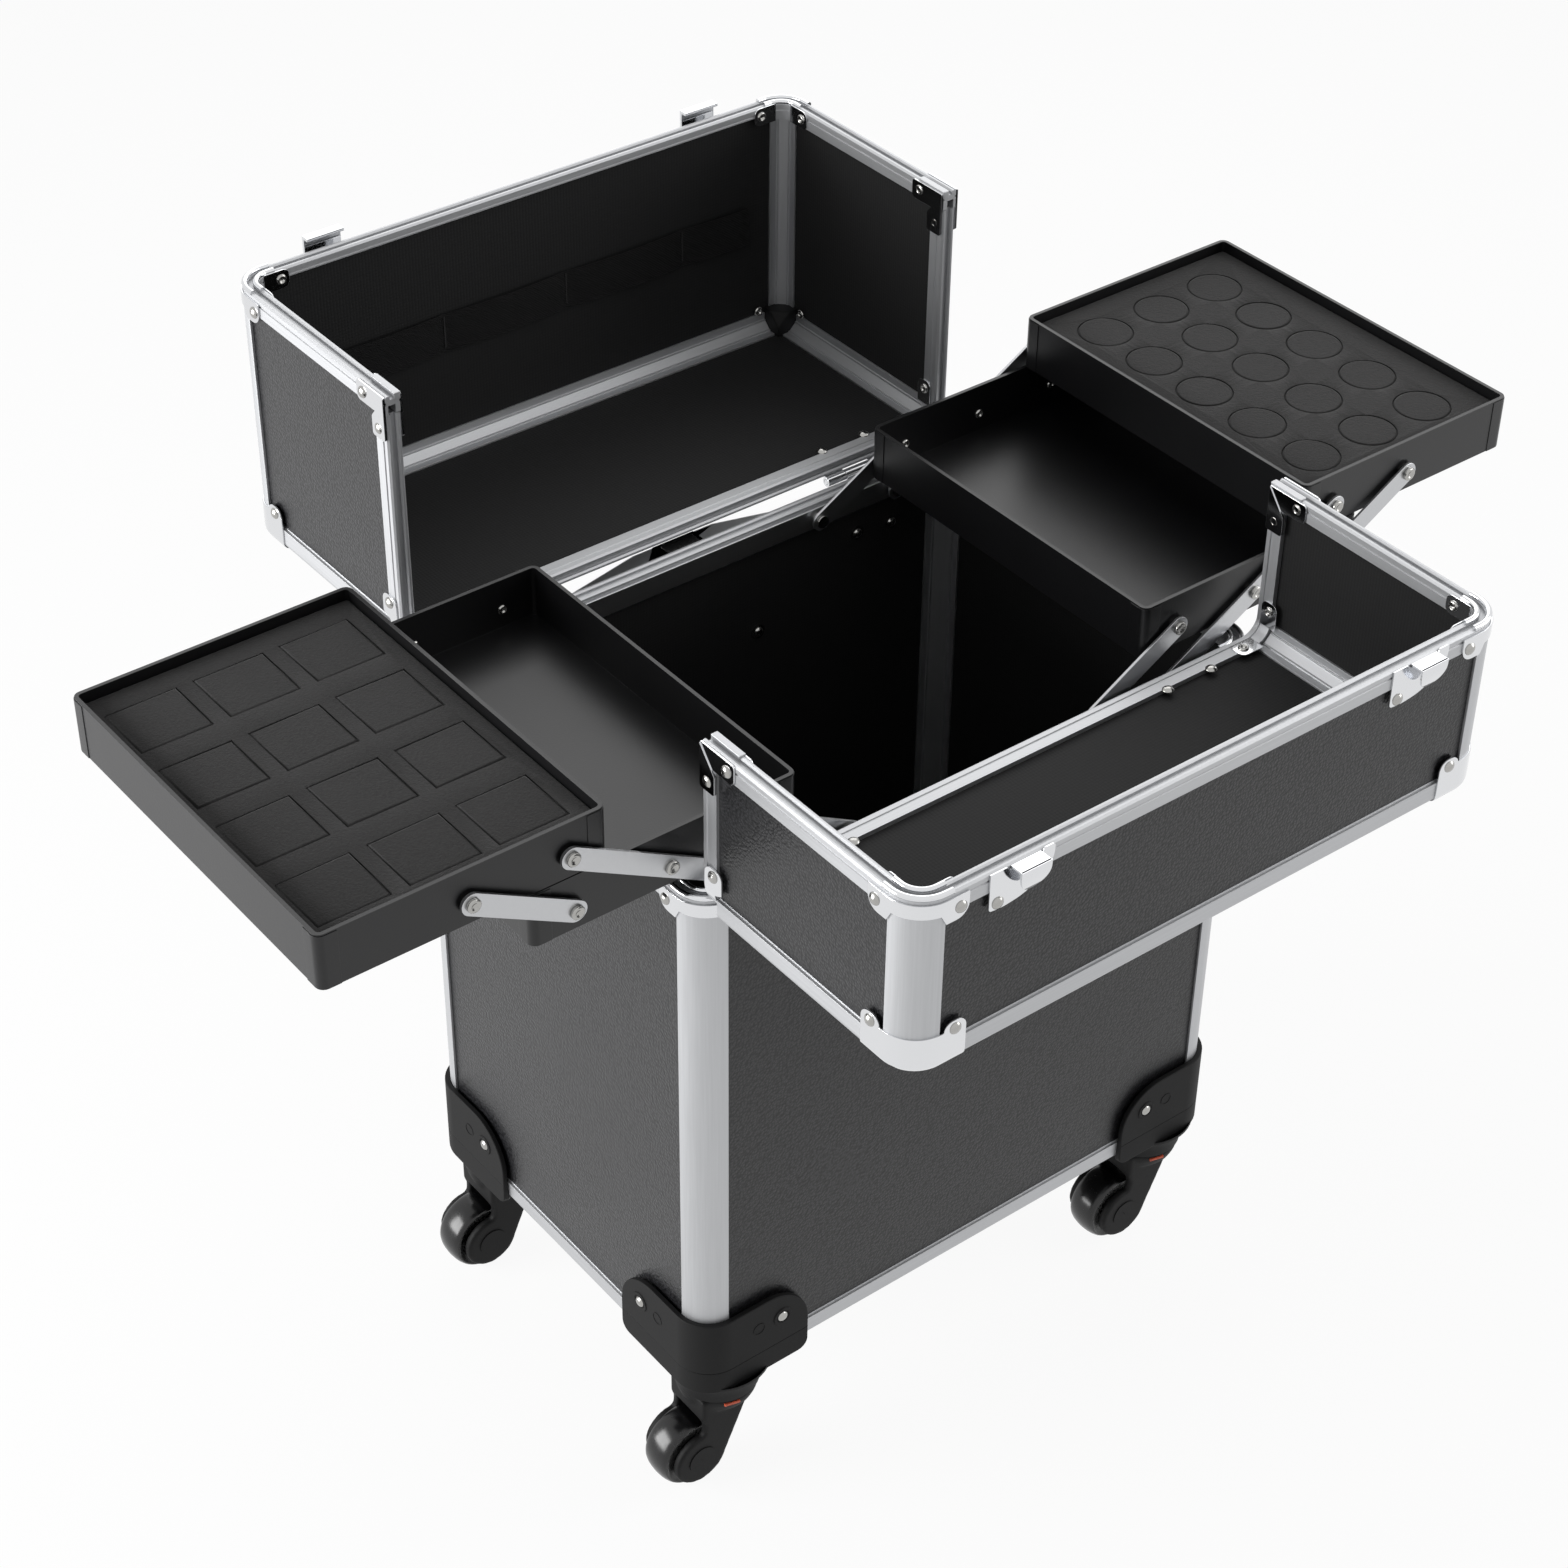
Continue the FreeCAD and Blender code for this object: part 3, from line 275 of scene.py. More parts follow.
for lid, (out, top) in LIDS.items():
    posts, end_rails = [], []
    for x in (-1, 1):
        edge = Vector((x * HALF_LEN, out * LID_END, 0))
        posts.append(rail(edge + Z * (LID_BASE + RAIL_END - 1), edge + Z * (top - RIM_TALL), X * -x, Y * -out,
                          LID_RAIL_END, **POST))
        end_rails.append(rail((x * HALF_LEN, out * (LID_EDGE + RIM_TALL), LID_BASE),
                              (x * HALF_LEN, out * (LID_END - RAIL_END), LID_BASE), X * -x, Z, LID_RAIL_END))
    far_rail = rail((RAIL_END - HALF_LEN, out * LID_END, LID_BASE), (HALF_LEN - RAIL_END, out * LID_END, LID_BASE),
                    Y * -out, Z, LID_RAIL_END)
    for kind, shapes, axis in (("posts", posts, "z"), ("end_rails", end_rails, "y"), ("far_rail", [far_rail], "x")):
        piece(f"{lid}_{kind}", gathered(shapes), satin[axis], lid, "aluminium", f"{lid}_edge_rails")


# Rims where the lids close on the body and on each other: double-lipped extrusions with a groove between
# the lips and a fine line along each side, bent round the corners. Along a lid's far wall the inner leg is cut
# short, and a short raised cover caps the inner lip at each open end of a lid.
RIM_THICK, CORNER, INNER_LEG, SHORT_LEG = 8.0, 16.6, 9.6, 5.3
COVER_LOW, COVER_HIGH, COVER_ROUND, COVER_IN, COVER_OUT = (0, 0, -3), (20.0, 3.6, 0.9), 0.4, 0.4, 0.3
RIM_SECTION = [(0, -10), (0, -4.4), (0.5, -4.1), (0.5, -3.3), (0, -3.0), (0, -0.9), (0.9, 0), (1.9, 0), (2.7, -0.8),
               (2.7, -2), (5.3, -2), (5.3, -0.8), (6.1, 0), (7.1, 0), (8, -0.9), (8, -3.2), (7.5, -3.5), (7.5, -4.3),
               (8, -4.6), (8, -INNER_LEG), (5.5, -INNER_LEG), (5.5, -5), (1.5, -5), (1.5, -10)]


def softened(node, width, segments=2):
    """A copy of a CAD node, in millimetres, with its sharp edges broken."""
    shape = bmesh.new()
    shape.from_mesh(frame["nodes"][node].data)
    bmesh.ops.scale(shape, vec=(1000, 1000, 1000), verts=shape.verts)
    bmesh.ops.remove_doubles(shape, verts=shape.verts, dist=0.001)
    bmesh.ops.dissolve_limit(shape, angle_limit=math.radians(0.5), verts=shape.verts, edges=shape.edges)
    return eased(shape, width, segments) if width else shape


def block(low, high):
    """A box between two opposite corners."""
    low, high = Vector(low), Vector(high)
    shape = bmesh.new()
    bmesh.ops.create_cube(shape, size=1)
    bmesh.ops.scale(shape, vec=high - low, verts=shape.verts)
    bmesh.ops.translate(shape, vec=(low + high) / 2, verts=shape.verts)
    return shape


def swept(shape, front, spot, way, runs, steps):
    """Sweeps edges along runs, with a right turn round a corner after each run but the last."""
    for count, run in enumerate(runs):
        front = bmesh.ops.extrude_edge_only(shape, edges=front)["geom"]
        bmesh.ops.translate(shape, vec=way * run, verts=kept(front, bmesh.types.BMVert))
        for face in kept(front, bmesh.types.BMFace):
            face.material_index = 1 - count % 2
        spot, side = spot + way * run, way.cross(Z)
        if count + 1 < len(runs):
            front = bmesh.ops.spin(shape, geom=kept(front, (bmesh.types.BMVert, bmesh.types.BMEdge)),
                                   cent=spot + side * CORNER, axis=Z, angle=-math.pi / 2, steps=steps)["geom_last"]
            spot, way = spot + (side + way) * CORNER, side
        front = kept(front, bmesh.types.BMEdge)
    bmesh.ops.remove_doubles(shape, verts=shape.verts, dist=0.01)
    bmesh.ops.holes_fill(shape, edges=shape.edges)
    return facing_out(shape)


def bent_rim(*runs):
    """A rim from the left end of the case."""
    shape = bmesh.new()
    verts = [shape.verts.new((inset - HALF_LEN, 0, height)) for inset, height in RIM_SECTION]
    front = [shape.edges.new(ends) for ends in zip(verts, verts[1:] + verts[:1])]
    return swept(shape, front, X * -HALF_LEN, Y, runs, 9)


side, end = (HALF_DEP - CORNER) * 2, (HALF_LEN - CORNER) * 2
body_rim = bent_rim(side / 2, end, side, end, side / 2)
piece("body_rim", laid(body_rim, Z * RIM_TOP, X, Y, Z), [satin["x"], satin["y"]], "case", "aluminium",
      "body_top_rim")
for lid, (out, top) in LIDS.items():
    reach, depth = LID_END - LID_EDGE - CORNER, top - LID_BASE - RIM_TALL - CORNER
    seam = bent_rim(reach, end, reach)
    for vert in seam.verts:
        if abs(vert.co.x) < HALF_LEN - CORNER + 0.1 and abs(vert.co.z + INNER_LEG) < 0.1:
            vert.co.z = -SHORT_LEG
    seam = laid(seam, (0, out * LID_EDGE, top), X, Y * out, Z)
    covers = [laid(eased(block(COVER_LOW, COVER_HIGH), COVER_ROUND, segments=3),
                   (x * (HALF_LEN - RIM_THICK - COVER_IN), out * (LID_EDGE - COVER_OUT), top), Y * out, X * x, Z)
              for x in (-1, 1)]
    hinged = laid(bent_rim(depth, end, depth), (0, out * LID_EDGE, top - RIM_TALL), X, -Z, Y * -out)
    piece(f"{lid}_seam_rim", gathered([seam, *covers]), [satin["x"], satin["y"]], lid, "aluminium", f"{lid}_rims")
    piece(f"{lid}_hinged_rim", hinged, [satin["x"], satin["z"]], lid, "aluminium", f"{lid}_rims")


# Corner fittings: sheet steel stamped to shape, chrome plated and riveted over the ends of the rims and
# rails. A rim corner has two riveted ears joined by a band, and two rolled beads over the rim's lips; a lid's
# low corner is a ball with two ears; at a lid's open end two plates overlap on a mitre.
PLATE, EAR_END, EAR_HIGH, EAR_LOW, BAND_LOW = 1.0, 28.0, -2.5, -14.5, -9.5
BEAD_ROUND, BEAD_RUN, BEAD_INSETS = 1.5, 4.0, (1.2, 6.6)
BALL_REACH, BALL_TALL, BALL_ROUND = 30.0, 18.5, 5.0
BALL_EAR, BALL_EAR_LOW, BALL_EAR_TOP, BALL_EAR_PROUD = 12.0, 8.0, 22.8, 0.06
MITRE_LEG, MITRE_WIDE, MITRE_CUT, MITRE_IN, MITRE_DOWN = 23.5, 10.5, 13.5, 0.4, 0.6
TAB, TAB_THICK, TAB_IN = [(-9, -5), (5, -5), (5, 5), (-9, 5)], 0.7, 23.0
RIVET_IN, RIVET_DOWN, RIVET_OUT = 23.5, 5.2, 8.5


def plated(name, colour, rough, ripple):
    """A plated, tumbled or lacquered finish: its gloss and its face wander a little over a ripple's width."""
    material = bare(name)
    place = add(material, "TexCoord")["Object"]
    wave = add(material, "TexNoise", {"Vector": place, "Scale": 1 / ripple, "Detail": 2.0})["Fac"]
    gloss = add(material, "MapRange", {"Value": wave, "To Min": rough * 0.7, "To Max": rough * 1.3})["Result"]
    relief = add(material, "Bump", {"Height": wave, "Strength": 0.06, "Distance": 0.0005})["Normal"]
    skin = add(material, "BsdfPrincipled", {"Base Color": linear(colour), "Metallic": 1.0, "Roughness": gloss,
                                            "Normal": relief})
    add(material, "OutputMaterial", {"Surface": skin["BSDF"]})
    return material


# Bright chrome on stamped steel: nearly a mirror, with a slight ripple from the press every 7 mm.
chrome = plated("chrome_plated_steel", "#dcdddf", 0.1, 0.007)


def scored(shape, spot, way):
    """Cuts a shape's faces along a plane, so that they can bend there."""
    bmesh.ops.bisect_plane(shape, geom=shape.verts[:] + shape.edges[:] + shape.faces[:], plane_co=spot, plane_no=way)


def wrap_plate(radii):
    """A corner plate, corner at the origin and free edge at z = 0: cut flat, then bent round the corner."""
    arc = CORNER * math.pi / 4
    end = arc + EAR_END - CORNER
    shape = stamped([(-end, EAR_HIGH), (-end, EAR_LOW), (-12.6, EAR_LOW), (-10.2, BAND_LOW), (10.2, BAND_LOW),
                     (12.6, EAR_LOW), (end, EAR_LOW), (end, EAR_HIGH)], radii, PLATE)
    for cut in range(-8, 9):
        scored(shape, X * cut * arc / 8, X)
    for vert in shape.verts:
        along, height, out = vert.co
        turn = max(-arc, min(arc, along)) / CORNER + math.radians(225)
        spare = along - max(-arc, min(arc, along))
        radial = Vector((math.cos(turn), math.sin(turn), 0))
        vert.co = Vector((CORNER, CORNER, height)) + radial * (CORNER + out) + Vector((-radial.y, radial.x, 0)) * spare
    return facing_out(shape)


def corner_bead(inset):
    """A rolled bead round a rim's corner, the corner at the origin."""
    shape = bmesh.new()
    ring = Matrix.Translation((CORNER + BEAD_RUN, inset, 0)) @ Matrix.Rotation(math.pi / 2, 4, "Y")
    bmesh.ops.create_circle(shape, segments=12, radius=BEAD_ROUND, matrix=ring)
    swept(shape, shape.edges[:], X * (CORNER + BEAD_RUN), -X, (BEAD_RUN, BEAD_RUN), 10)
    for face in shape.faces:
        face.material_index = 0
    return shape


def rim_corner():
    """A rim's corner plate with its beads."""
    return gathered([wrap_plate({1: 6.5, 6: 6.5}), *[corner_bead(inset) for inset in BEAD_INSETS]])


def ball_corner():
    """A ball corner, corner at the origin and the lid towards +X, +Y and +Z."""
    shape = block((-PLATE,) * 3, (BALL_REACH, BALL_REACH, BALL_TALL))
    upright = [e for e in shape.edges if all(v.co.x < 0 and v.co.y < 0 for v in e.verts)]
    bevelled(shape, upright, CORNER + PLATE, 12)
    low = [e for e in shape.edges if all(v.co.z < 0 for v in e.verts) and any(f.normal.z > -0.5 for f in e.link_faces)
           and not any(max(f.normal) > 0.99 for f in e.link_faces)]
    bevelled(shape, low, BALL_ROUND, 5)
    far = [f for f in shape.faces if max(f.normal) > 0.99]
    bmesh.ops.delete(shape, geom=far, context="FACES")
    bmesh.ops.solidify(shape, geom=shape.faces[:], thickness=PLATE)
    parts = [eased(shape, 0.3)]
    for one, up in ((X, -Y), (Y, -X)):
        near, far = BALL_REACH - BALL_EAR, BALL_REACH - 0.1
        ear = stamped([(near, BALL_EAR_LOW), (far, BALL_EAR_LOW), (far, BALL_EAR_TOP), (near, BALL_EAR_TOP)],
                      {2: 5, 3: 5}, PLATE, 0.3)
        parts.append(laid(ear, up * BALL_EAR_PROUD, one, Z, up))
    return gathered(parts)


def mitre_plates():
    """The two plates on an end wall at a lid's open corner: the upright one lies over the level one."""
    level = [(0, 0), (MITRE_LEG, 0), (MITRE_LEG, MITRE_WIDE), (0, MITRE_WIDE)]
    upright = [(0, 0.4), (MITRE_WIDE, MITRE_CUT), (MITRE_WIDE, MITRE_LEG), (0, MITRE_LEG)]
    return gathered([stamped(level, {1: 2, 2: 3}, PLATE), stamped(upright, {2: 1.5, 3: 1.5}, PLATE * 1.5)])


piece("body_corner_plates", gathered(
    [laid(rim_corner(), (x * HALF_LEN, y * HALF_DEP, RIM_TOP), X * -x, Y * -y, Z) for x in (-1, 1) for y in (-1, 1)]),
    chrome, "case", "chrome", "body_rim_corner_plates")
for lid, (out, top) in LIDS.items():
    fittings = []
    for x in (-1, 1):
        far, near = Vector((x * HALF_LEN, out * LID_END, 0)), Vector((x * HALF_LEN, out * LID_EDGE, 0))
        fittings += [
            laid(rim_corner(), far + Z * top, X * -x, Y * -out, Z),
            laid(ball_corner(), far + Z * LID_BASE, X * -x, Y * -out, Z),
            laid(wrap_plate({0: 4.5, 1: 4.5, 6: 4.5, 7: 4.5}), near + Z * LID_BASE, Z, X * -x, Y * -out),
            laid(mitre_plates(), near + Z * top, Y * out, -Z, X * x),
            laid(mitre_plates(), near + Vector((x * -RIM_THICK, out * MITRE_IN, top - MITRE_DOWN)), Y * out, -Z,
                 X * -x),
        ]
        tabs = [(far + Vector((x * -TAB_IN, out * -RIM_THICK, top - RIVET_DOWN)), X * -x, Y * -out),
                (far + Vector((x * -RIM_THICK, out * -TAB_IN, top - RIVET_DOWN)), Y * -out, X * -x),
                (near + Vector((x * -RIM_THICK, out * RIVET_OUT, LID_BASE + RIVET_IN)), Z, X * -x),
                (near + Vector((x * -RIVET_IN, out * RIVET_OUT, LID_BASE + RIM_THICK)), X * -x, Z)]
        fittings += [laid(stamped(TAB, {1: 3.5, 2: 3.5}, TAB_THICK, 0.2), spot, one, up.cross(one), up)
                     for spot, one, up in tabs]
    piece(f"{lid}_corners", gathered(fittings), chrome, lid, "chrome", f"{lid}_corner_fittings")


# Corner blocks of a lid's low corners, inside the balls: black nylon mouldings that the three rails are pushed on
# to, with the inner tip cut off.
def moulded(name, dark, light, rough, patch, detail, grain, shine):
    """A black plastic with a grain of 1 mm, whose colour and roughness change from patch to patch."""
    material = bare(name)
    place = add(material, "TexCoord")["Object"]
    speck = add(material, "TexNoise", {"Vector": place, "Scale": 1 / 0.001, "Detail": 3.0})["Fac"]
    cloud = add(material, "TexNoise", {"Vector": place, "Scale": 1 / patch, "Detail": detail})["Fac"]
    tint = add(material, "Mix", {0: cloud, 6: linear(dark), 7: linear(light)}, data_type="RGBA")[2]
    gloss = add(material, "MapRange", {"Value": cloud, "To Min": rough[0], "To Max": rough[1]})["Result"]
    relief = add(material, "Bump", {"Height": speck, "Strength": grain, "Distance": 0.0002})["Normal"]
    skin = add(material, "BsdfPrincipled", {"Base Color": tint, "Roughness": gloss, "Normal": relief, "IOR": 1.53,
                                            "Specular IOR Level": shine})
    add(material, "OutputMaterial", {"Surface": skin["BSDF"]})
    return material


# Moulded nylon: near black and dull, with a fine speck of 0.3 mm drawn at 1 mm.
nylon = moulded("moulded_black_nylon", "#060606", "#0d0d0e", (0.58, 0.7), 0.001, 3.0, 0.12, 0.2)
BLOCK_LOW, BLOCK_HIGH, BLOCK_CUT, BLOCK_ROUND = (5.6, 5.6, 5.6), (19, 19, 19), 8.0, 0.8
for lid, (out, top) in LIDS.items():
    blocks = []
    for x in (-1, 1):
        shape = block(BLOCK_LOW, BLOCK_HIGH)
        tip = max(shape.verts, key=lambda v: sum(v.co))
        bevelled(shape, [tip], BLOCK_CUT, 1, "VERTICES")
        blocks.append(laid(eased(shape, BLOCK_ROUND), (x * HALF_LEN, out * LID_END, LID_BASE), X * -x, Y * -out, Z))
    piece(f"{lid}_inner_corners", gathered(blocks), nylon, lid, "moulded_black")


# Rivets of the fittings: nickel-plated steel, with a domed head on a thin flange outside and a set ring with a
# hollow middle inside the lids.
# Nickel plate: a warmer and duller mirror than chrome, with a slight ripple every 2 mm.
nickel = plated("nickel_plated_steel", "#aaa9a6", 0.2, 0.002)
HEAD = [(3.0, 0), (3.0, 0.25), (2.8, 0.5), (2.4, 0.95), (1.7, 1.35), (0.9, 1.6), (0, 1.68)]
RING = [(2.7, -0.6), (2.7, 0.1), (2.6, 0.5), (2.1, 0.85), (1.6, 0.8), (1.2, 0.3), (1.0, 0.05), (0, 0.02)]
MITRE_RIVET, BALL_RIVET, BALL_INSIDE = 18.2, 24.0, 6.8


def spun(points, steps=24):
    """A shape turned about Z, through points of its radius and height."""
    shape = bmesh.new()
    verts = [shape.verts.new((radius, 0, height)) for radius, height in points]
    edges = [shape.edges.new(ends) for ends in zip(verts, verts[1:])]
    bmesh.ops.spin(shape, geom=verts + edges, cent=(0, 0, 0), axis=Z, angle=math.tau, steps=steps, use_merge=True)
    bmesh.ops.remove_doubles(shape, verts=shape.verts, dist=0.001)
    return facing_out(shape)


def set_on(shape, spot, up):
    """Stands a turned shape on a spot, along a direction."""
    side = Vector(up).orthogonal().normalized()
    return laid(shape, spot, side, Vector(up).cross(side), up)


def solids(node):
    """The lowest and highest corners of each separate solid of a CAD node, and its vertices, in millimetres."""
    shape = softened(node, 0)
    left = set(shape.verts)
    while left:
        found, front = [], [left.pop()]
        while front:
            vert = front.pop()
            found.append(vert.co.copy())
            near = {link.other_vert(vert) for link in vert.link_edges} & left
            left -= near
            front.extend(near)
        yield Vector(map(min, *found)), Vector(map(max, *found)), found
    shape.free()


def rivet_heads(node):
    """A domed head in the place of each rivet of a CAD node."""
    for low, high, verts in solids(node):
        axis = min(range(3), key=lambda i: high[i] - low[i])
        across = (axis + 1) % 3
        ends = [[v[across] for v in verts if abs(v[axis] - end[axis]) < 0.01] for end in (low, high)]
        wide = [max(end) - min(end) for end in ends]
        spot, up = (low + high) / 2, Vector()
        up[axis] = 1 if wide[0] > wide[1] else -1
        spot[axis] = (low if wide[0] > wide[1] else high)[axis]
        yield set_on(spun(HEAD), spot, up)


piece("body_rivet_heads", gathered(rivet_heads("body_rivets")), nickel, "case", "rivet", "body_rivets", crease=60)
for lid, (out, top) in LIDS.items():
    rings = []
    for x in (-1, 1):
        for inset, place, height, up in (
                (RIVET_IN, LID_END - RIM_THICK, top - RIVET_DOWN, Y * -out),
                (RIM_THICK, LID_END - RIVET_IN, top - RIVET_DOWN, X * -x),
                (RIM_THICK, LID_EDGE + RIVET_OUT, LID_BASE + RIVET_IN, X * -x),
                (RIVET_IN, LID_EDGE + RIVET_OUT, LID_BASE + RIM_THICK, Z),
                (RIM_THICK, LID_EDGE + MITRE_RIVET, top - RIVET_DOWN, X * -x),
                (RIM_THICK, LID_EDGE + RIVET_DOWN, top - MITRE_RIVET, X * -x),
                (BALL_RIVET, LID_END - BALL_INSIDE, LID_BASE + BALL_TALL, Y * -out),
                (BALL_INSIDE, LID_END - BALL_RIVET, LID_BASE + BALL_TALL, X * -x)):
            spot = Vector((x * (HALF_LEN - inset), out * place, height))
            rings.append(set_on(spun(RING), spot + up * TAB_THICK, up))
    piece(f"{lid}_rivet_heads", gathered([*rivet_heads(f"{lid}_rivets"), *rings]), nickel, lid, "rivet",
          f"{lid}_rivets", crease=60)


# Hinges: pressed steel leaves rolled round a pin, chrome plated, on the rims of the body and of the lids. The
# body's half stays, and each lid's leaves swing with it.
piece("hinges_on_body", softened("body_hinges", 0.25), chrome, "case", "chrome", "body_hinges")
for lid in LIDS:
    piece(f"{lid}_leaves", softened(f"{lid}_hinge_leaves", 0.25), chrome, lid, "chrome", f"{lid}_hinge_leaves")


# Latches: on the front lid a pressed catch, a D-shaped plate with a folded hook and one rivet; on the rear lid
# a base plate with two ears, and the hasp that swings on the pin between them.
LATCH_PLACE, SHELF_OUT, LIP_BEND, LIP_STRAIGHT = 114.6, 7.3, 0.03, 4.0
CATCH = [(-17, -0.4), (-17, -19.4), (-10, -20.2), (0, -19), (9, -15.6), (15, -10.6), (17.5, -5.5), (17.5, 0.2),
         (11.4, 0.2), (10.6, -2), (-6.6, -2), (-8, -0.4)]
CATCH_RADII = {1: 1.5, 2: 3, 3: 3, 4: 3, 5: 3, 6: 2.5, 7: 1.2, 8: 1.2}
CATCH_RIVET_X, CATCH_RIVET_Z = -12.4, -16.4
LIP = [(-5.8, -0.8), (-6.1, -5), (-4.4, -9.6), (-1.4, -12.6), (2.4, -13.5), (6.2, -11.6), (9, -8.2), (10.3, -4.6),
       (10.3, -0.8)]
SHELF_LOW, SHELF_HIGH = (-5.8, -1.8, 0), (10.3, -0.8, SHELF_OUT - 0.02)
out, top = LIDS["front_lid"]
catches, catch_heads = [], []
for x in (-1, 1):
    spot = Vector((x * LATCH_PLACE, out * LID_END, top))
    plate = stamped(CATCH, CATCH_RADII, PLATE, segments=4)
    lip = raised(rounded(outline(LIP), {corner: 2 for corner in range(1, 8)}, 4), PLATE)
    for cut in range(2, 13):
        scored(lip, Y * -cut, Y)
    for vert in lip.verts:
        vert.co.z += SHELF_OUT - PLATE - LIP_BEND * max(0, -LIP_STRAIGHT - vert.co.y) ** 2
    shapes = plate, eased(lip, 0.25), eased(block(SHELF_LOW, SHELF_HIGH), 0.25)
    catches += [laid(shape, spot, X, Z, Y * out) for shape in shapes]
    catch_heads.append(set_on(spun(HEAD), spot + Vector((CATCH_RIVET_X, out * PLATE, CATCH_RIVET_Z)), Y * out))
piece("front_lid_catches", gathered(catches), chrome, "front_lid", "chrome", "front_lid_latch_plates")
piece("front_lid_catch_rivets", gathered(catch_heads), nickel, "front_lid", "rivet", crease=60)
piece("rear_lid_hasp_bases", softened("rear_lid_latch_plates", 0.3), chrome, "rear_lid", "chrome",
      "rear_lid_latch_plates")
for side in ("left", "right"):
    piece(f"hasp_{side}_plate", softened(f"hasp_{side}", 0.4), chrome, f"hasp_{side}", "chrome", f"hasp_{side}")


# Tray linkage: flat steel arms with round ends, on shoulder rivets through the tray walls and through the steel
# strips on the body's rim.
# Satin steel: ground and tumbled, so that it is grey and even, with a fine cloudy grain of 1.5 mm.
steel = plated("tumbled_satin_steel", "#bfc0c2", 0.33, 0.0015)
EYELET = [(3.5, -0.9), (3.5, 0.25), (3.1, 0.65), (2.4, 0.85), (1.8, 0.65), (1.4, 0.15), (0, 0.1)]


def shoulder_rivets(node, way):
    """The shoulder rivets of a CAD node with a hollow set end; way is 1 where they are headed outwards."""
    shapes = [softened(node, 0.2)]
    for low, high, _ in solids(node):
        spot = (low + high) / 2
        sign = math.copysign(way, spot.y)
        spot.y = high.y if sign > 0 else low.y
        shapes.append(set_on(spun(EYELET), spot, Y * sign))
    return gathered(shapes)


piece("tray_rail_strips", softened("tray_rails", 0.3), steel, "case", "steel", "tray_rails")
piece("tray_rail_rivets", shoulder_rivets("tray_rail_studs", -1), nickel, "case", "rivet", "tray_rail_studs")
for side in ("left", "right"):
    for arms in ("base_arms", "long_arms", "top_arms"):
        node = f"{side}_{arms}"
        piece(f"{node}_steel", softened(node, 0.3), steel, node, "steel", node)


# Trays: open boxes of black ABS sheet, folded up and lapped at the corners, with a fine matt grain.
# Matt ABS: a soft broad sheen over a 1 mm grain that is just felt, clouded a little over a hand's width.
abs_black = moulded("matt_black_abs", "#0c0c0d", "#111113", (0.3, 0.38), 0.07, 2.0, 0.2, 0.4)
LAP, LAP_PROUD, LAP_IN, LAP_SHORT, TRAY_WALL = 10.0, 0.35, 0.3, 0.8, 2.0
for side in ("left", "right"):
    for level in ("lower_tray", "upper_tray"):
        body = f"{side}_{level}"
        low, high = [corner * 1000 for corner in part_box(body)]
        laps = []
        for x, one in ((low.x, X), (high.x, -X)):
            for y, other in ((low.y, Y), (high.y, -Y)):
                lap = [(-LAP_PROUD, -LAP_PROUD), (LAP, -LAP_PROUD), (LAP, LAP_IN), (LAP_IN, LAP_IN), (LAP_IN, LAP),
                       (-LAP_PROUD, LAP)]
                lap = stamped(lap, {0: 4.3, 3: 3.7}, high.z - low.z - LAP_SHORT, 0.15, 5)
                laps.append(laid(lap, (x, y, low.z), one, other, Z))
        piece(f"{body}_box", gathered([softened(body, 0.5), *laps]), abs_black, body, "tray", body)
        tails = []
        for start, end, _ in solids(f"{body}_studs") if level == "lower_tray" else ():
            spot = (start + end) / 2
            spot.y = math.copysign(high.y - TRAY_WALL, start.y)
            tails.append(set_on(spun(RING), spot, Y * -math.copysign(1, start.y)))
        piece(f"{body}_rivets", gathered([shoulder_rivets(f"{body}_studs", 1), *tails]), nickel, body, "rivet",
              f"{body}_studs")


# Foam inserts of the upper trays: dense black foam with a brushed skin, die-cut into plugs that pull out, squares
# on the left and rounds on the right. The plugs sit a little proud and not quite level.
# Brushed foam: no gloss, a suede nap that catches light at low angles, cells of 0.4 mm drawn at 1.2 mm.
foam = bare("brushed_black_foam")
place = add(foam, "TexCoord")["Object"]
cell = add(foam, "TexNoise", {"Vector": place, "Scale": 1 / 0.0012, "Detail": 4.0, "Roughness": 0.7})["Fac"]
nap = add(foam, "TexNoise", {"Vector": place, "Scale": 1 / 0.018, "Detail": 3.0})["Fac"]
tint = add(foam, "Mix", {0: cell, 6: linear("#111111"), 7: linear("#3e3d3d")}, data_type="RGBA")[2]
nap = add(foam, "MapRange", {"Value": nap, "From Min": 0.35, "From Max": 0.75, "To Max": 0.6})["Result"]
tint = add(foam, "Mix", {0: nap, 6: tint, 7: linear("#323131")}, data_type="RGBA")[2]
relief = add(foam, "Bump", {"Height": cell, "Strength": 0.6, "Distance": 0.0005})["Normal"]
skin = add(foam, "BsdfPrincipled", {"Base Color": tint, "Roughness": 0.95, "Normal": relief, "Sheen Weight": 0.25,
                                    "Sheen Roughness": 0.5, "Specular IOR Level": 0.2})
add(foam, "OutputMaterial", {"Surface": skin["BSDF"]})
KERF, KERF_DEEP, KERF_EDGE, KERF_ROUND = 0.45, 0.9, 0.2, 0.25
PLUG_LONG, PLUG_WIDE, PLUG_ROUND, PLUG_TILT, PLUG_PROUD, PLUG_UNEVEN = 36.3, 34.3, 14.9, 0.012, 0.05, 0.15
SQUARE = Matrix.Diagonal((PLUG_LONG / 2, PLUG_WIDE / 2, 1, 1)) @ Matrix.Rotation(math.pi / 4, 4, "Z")
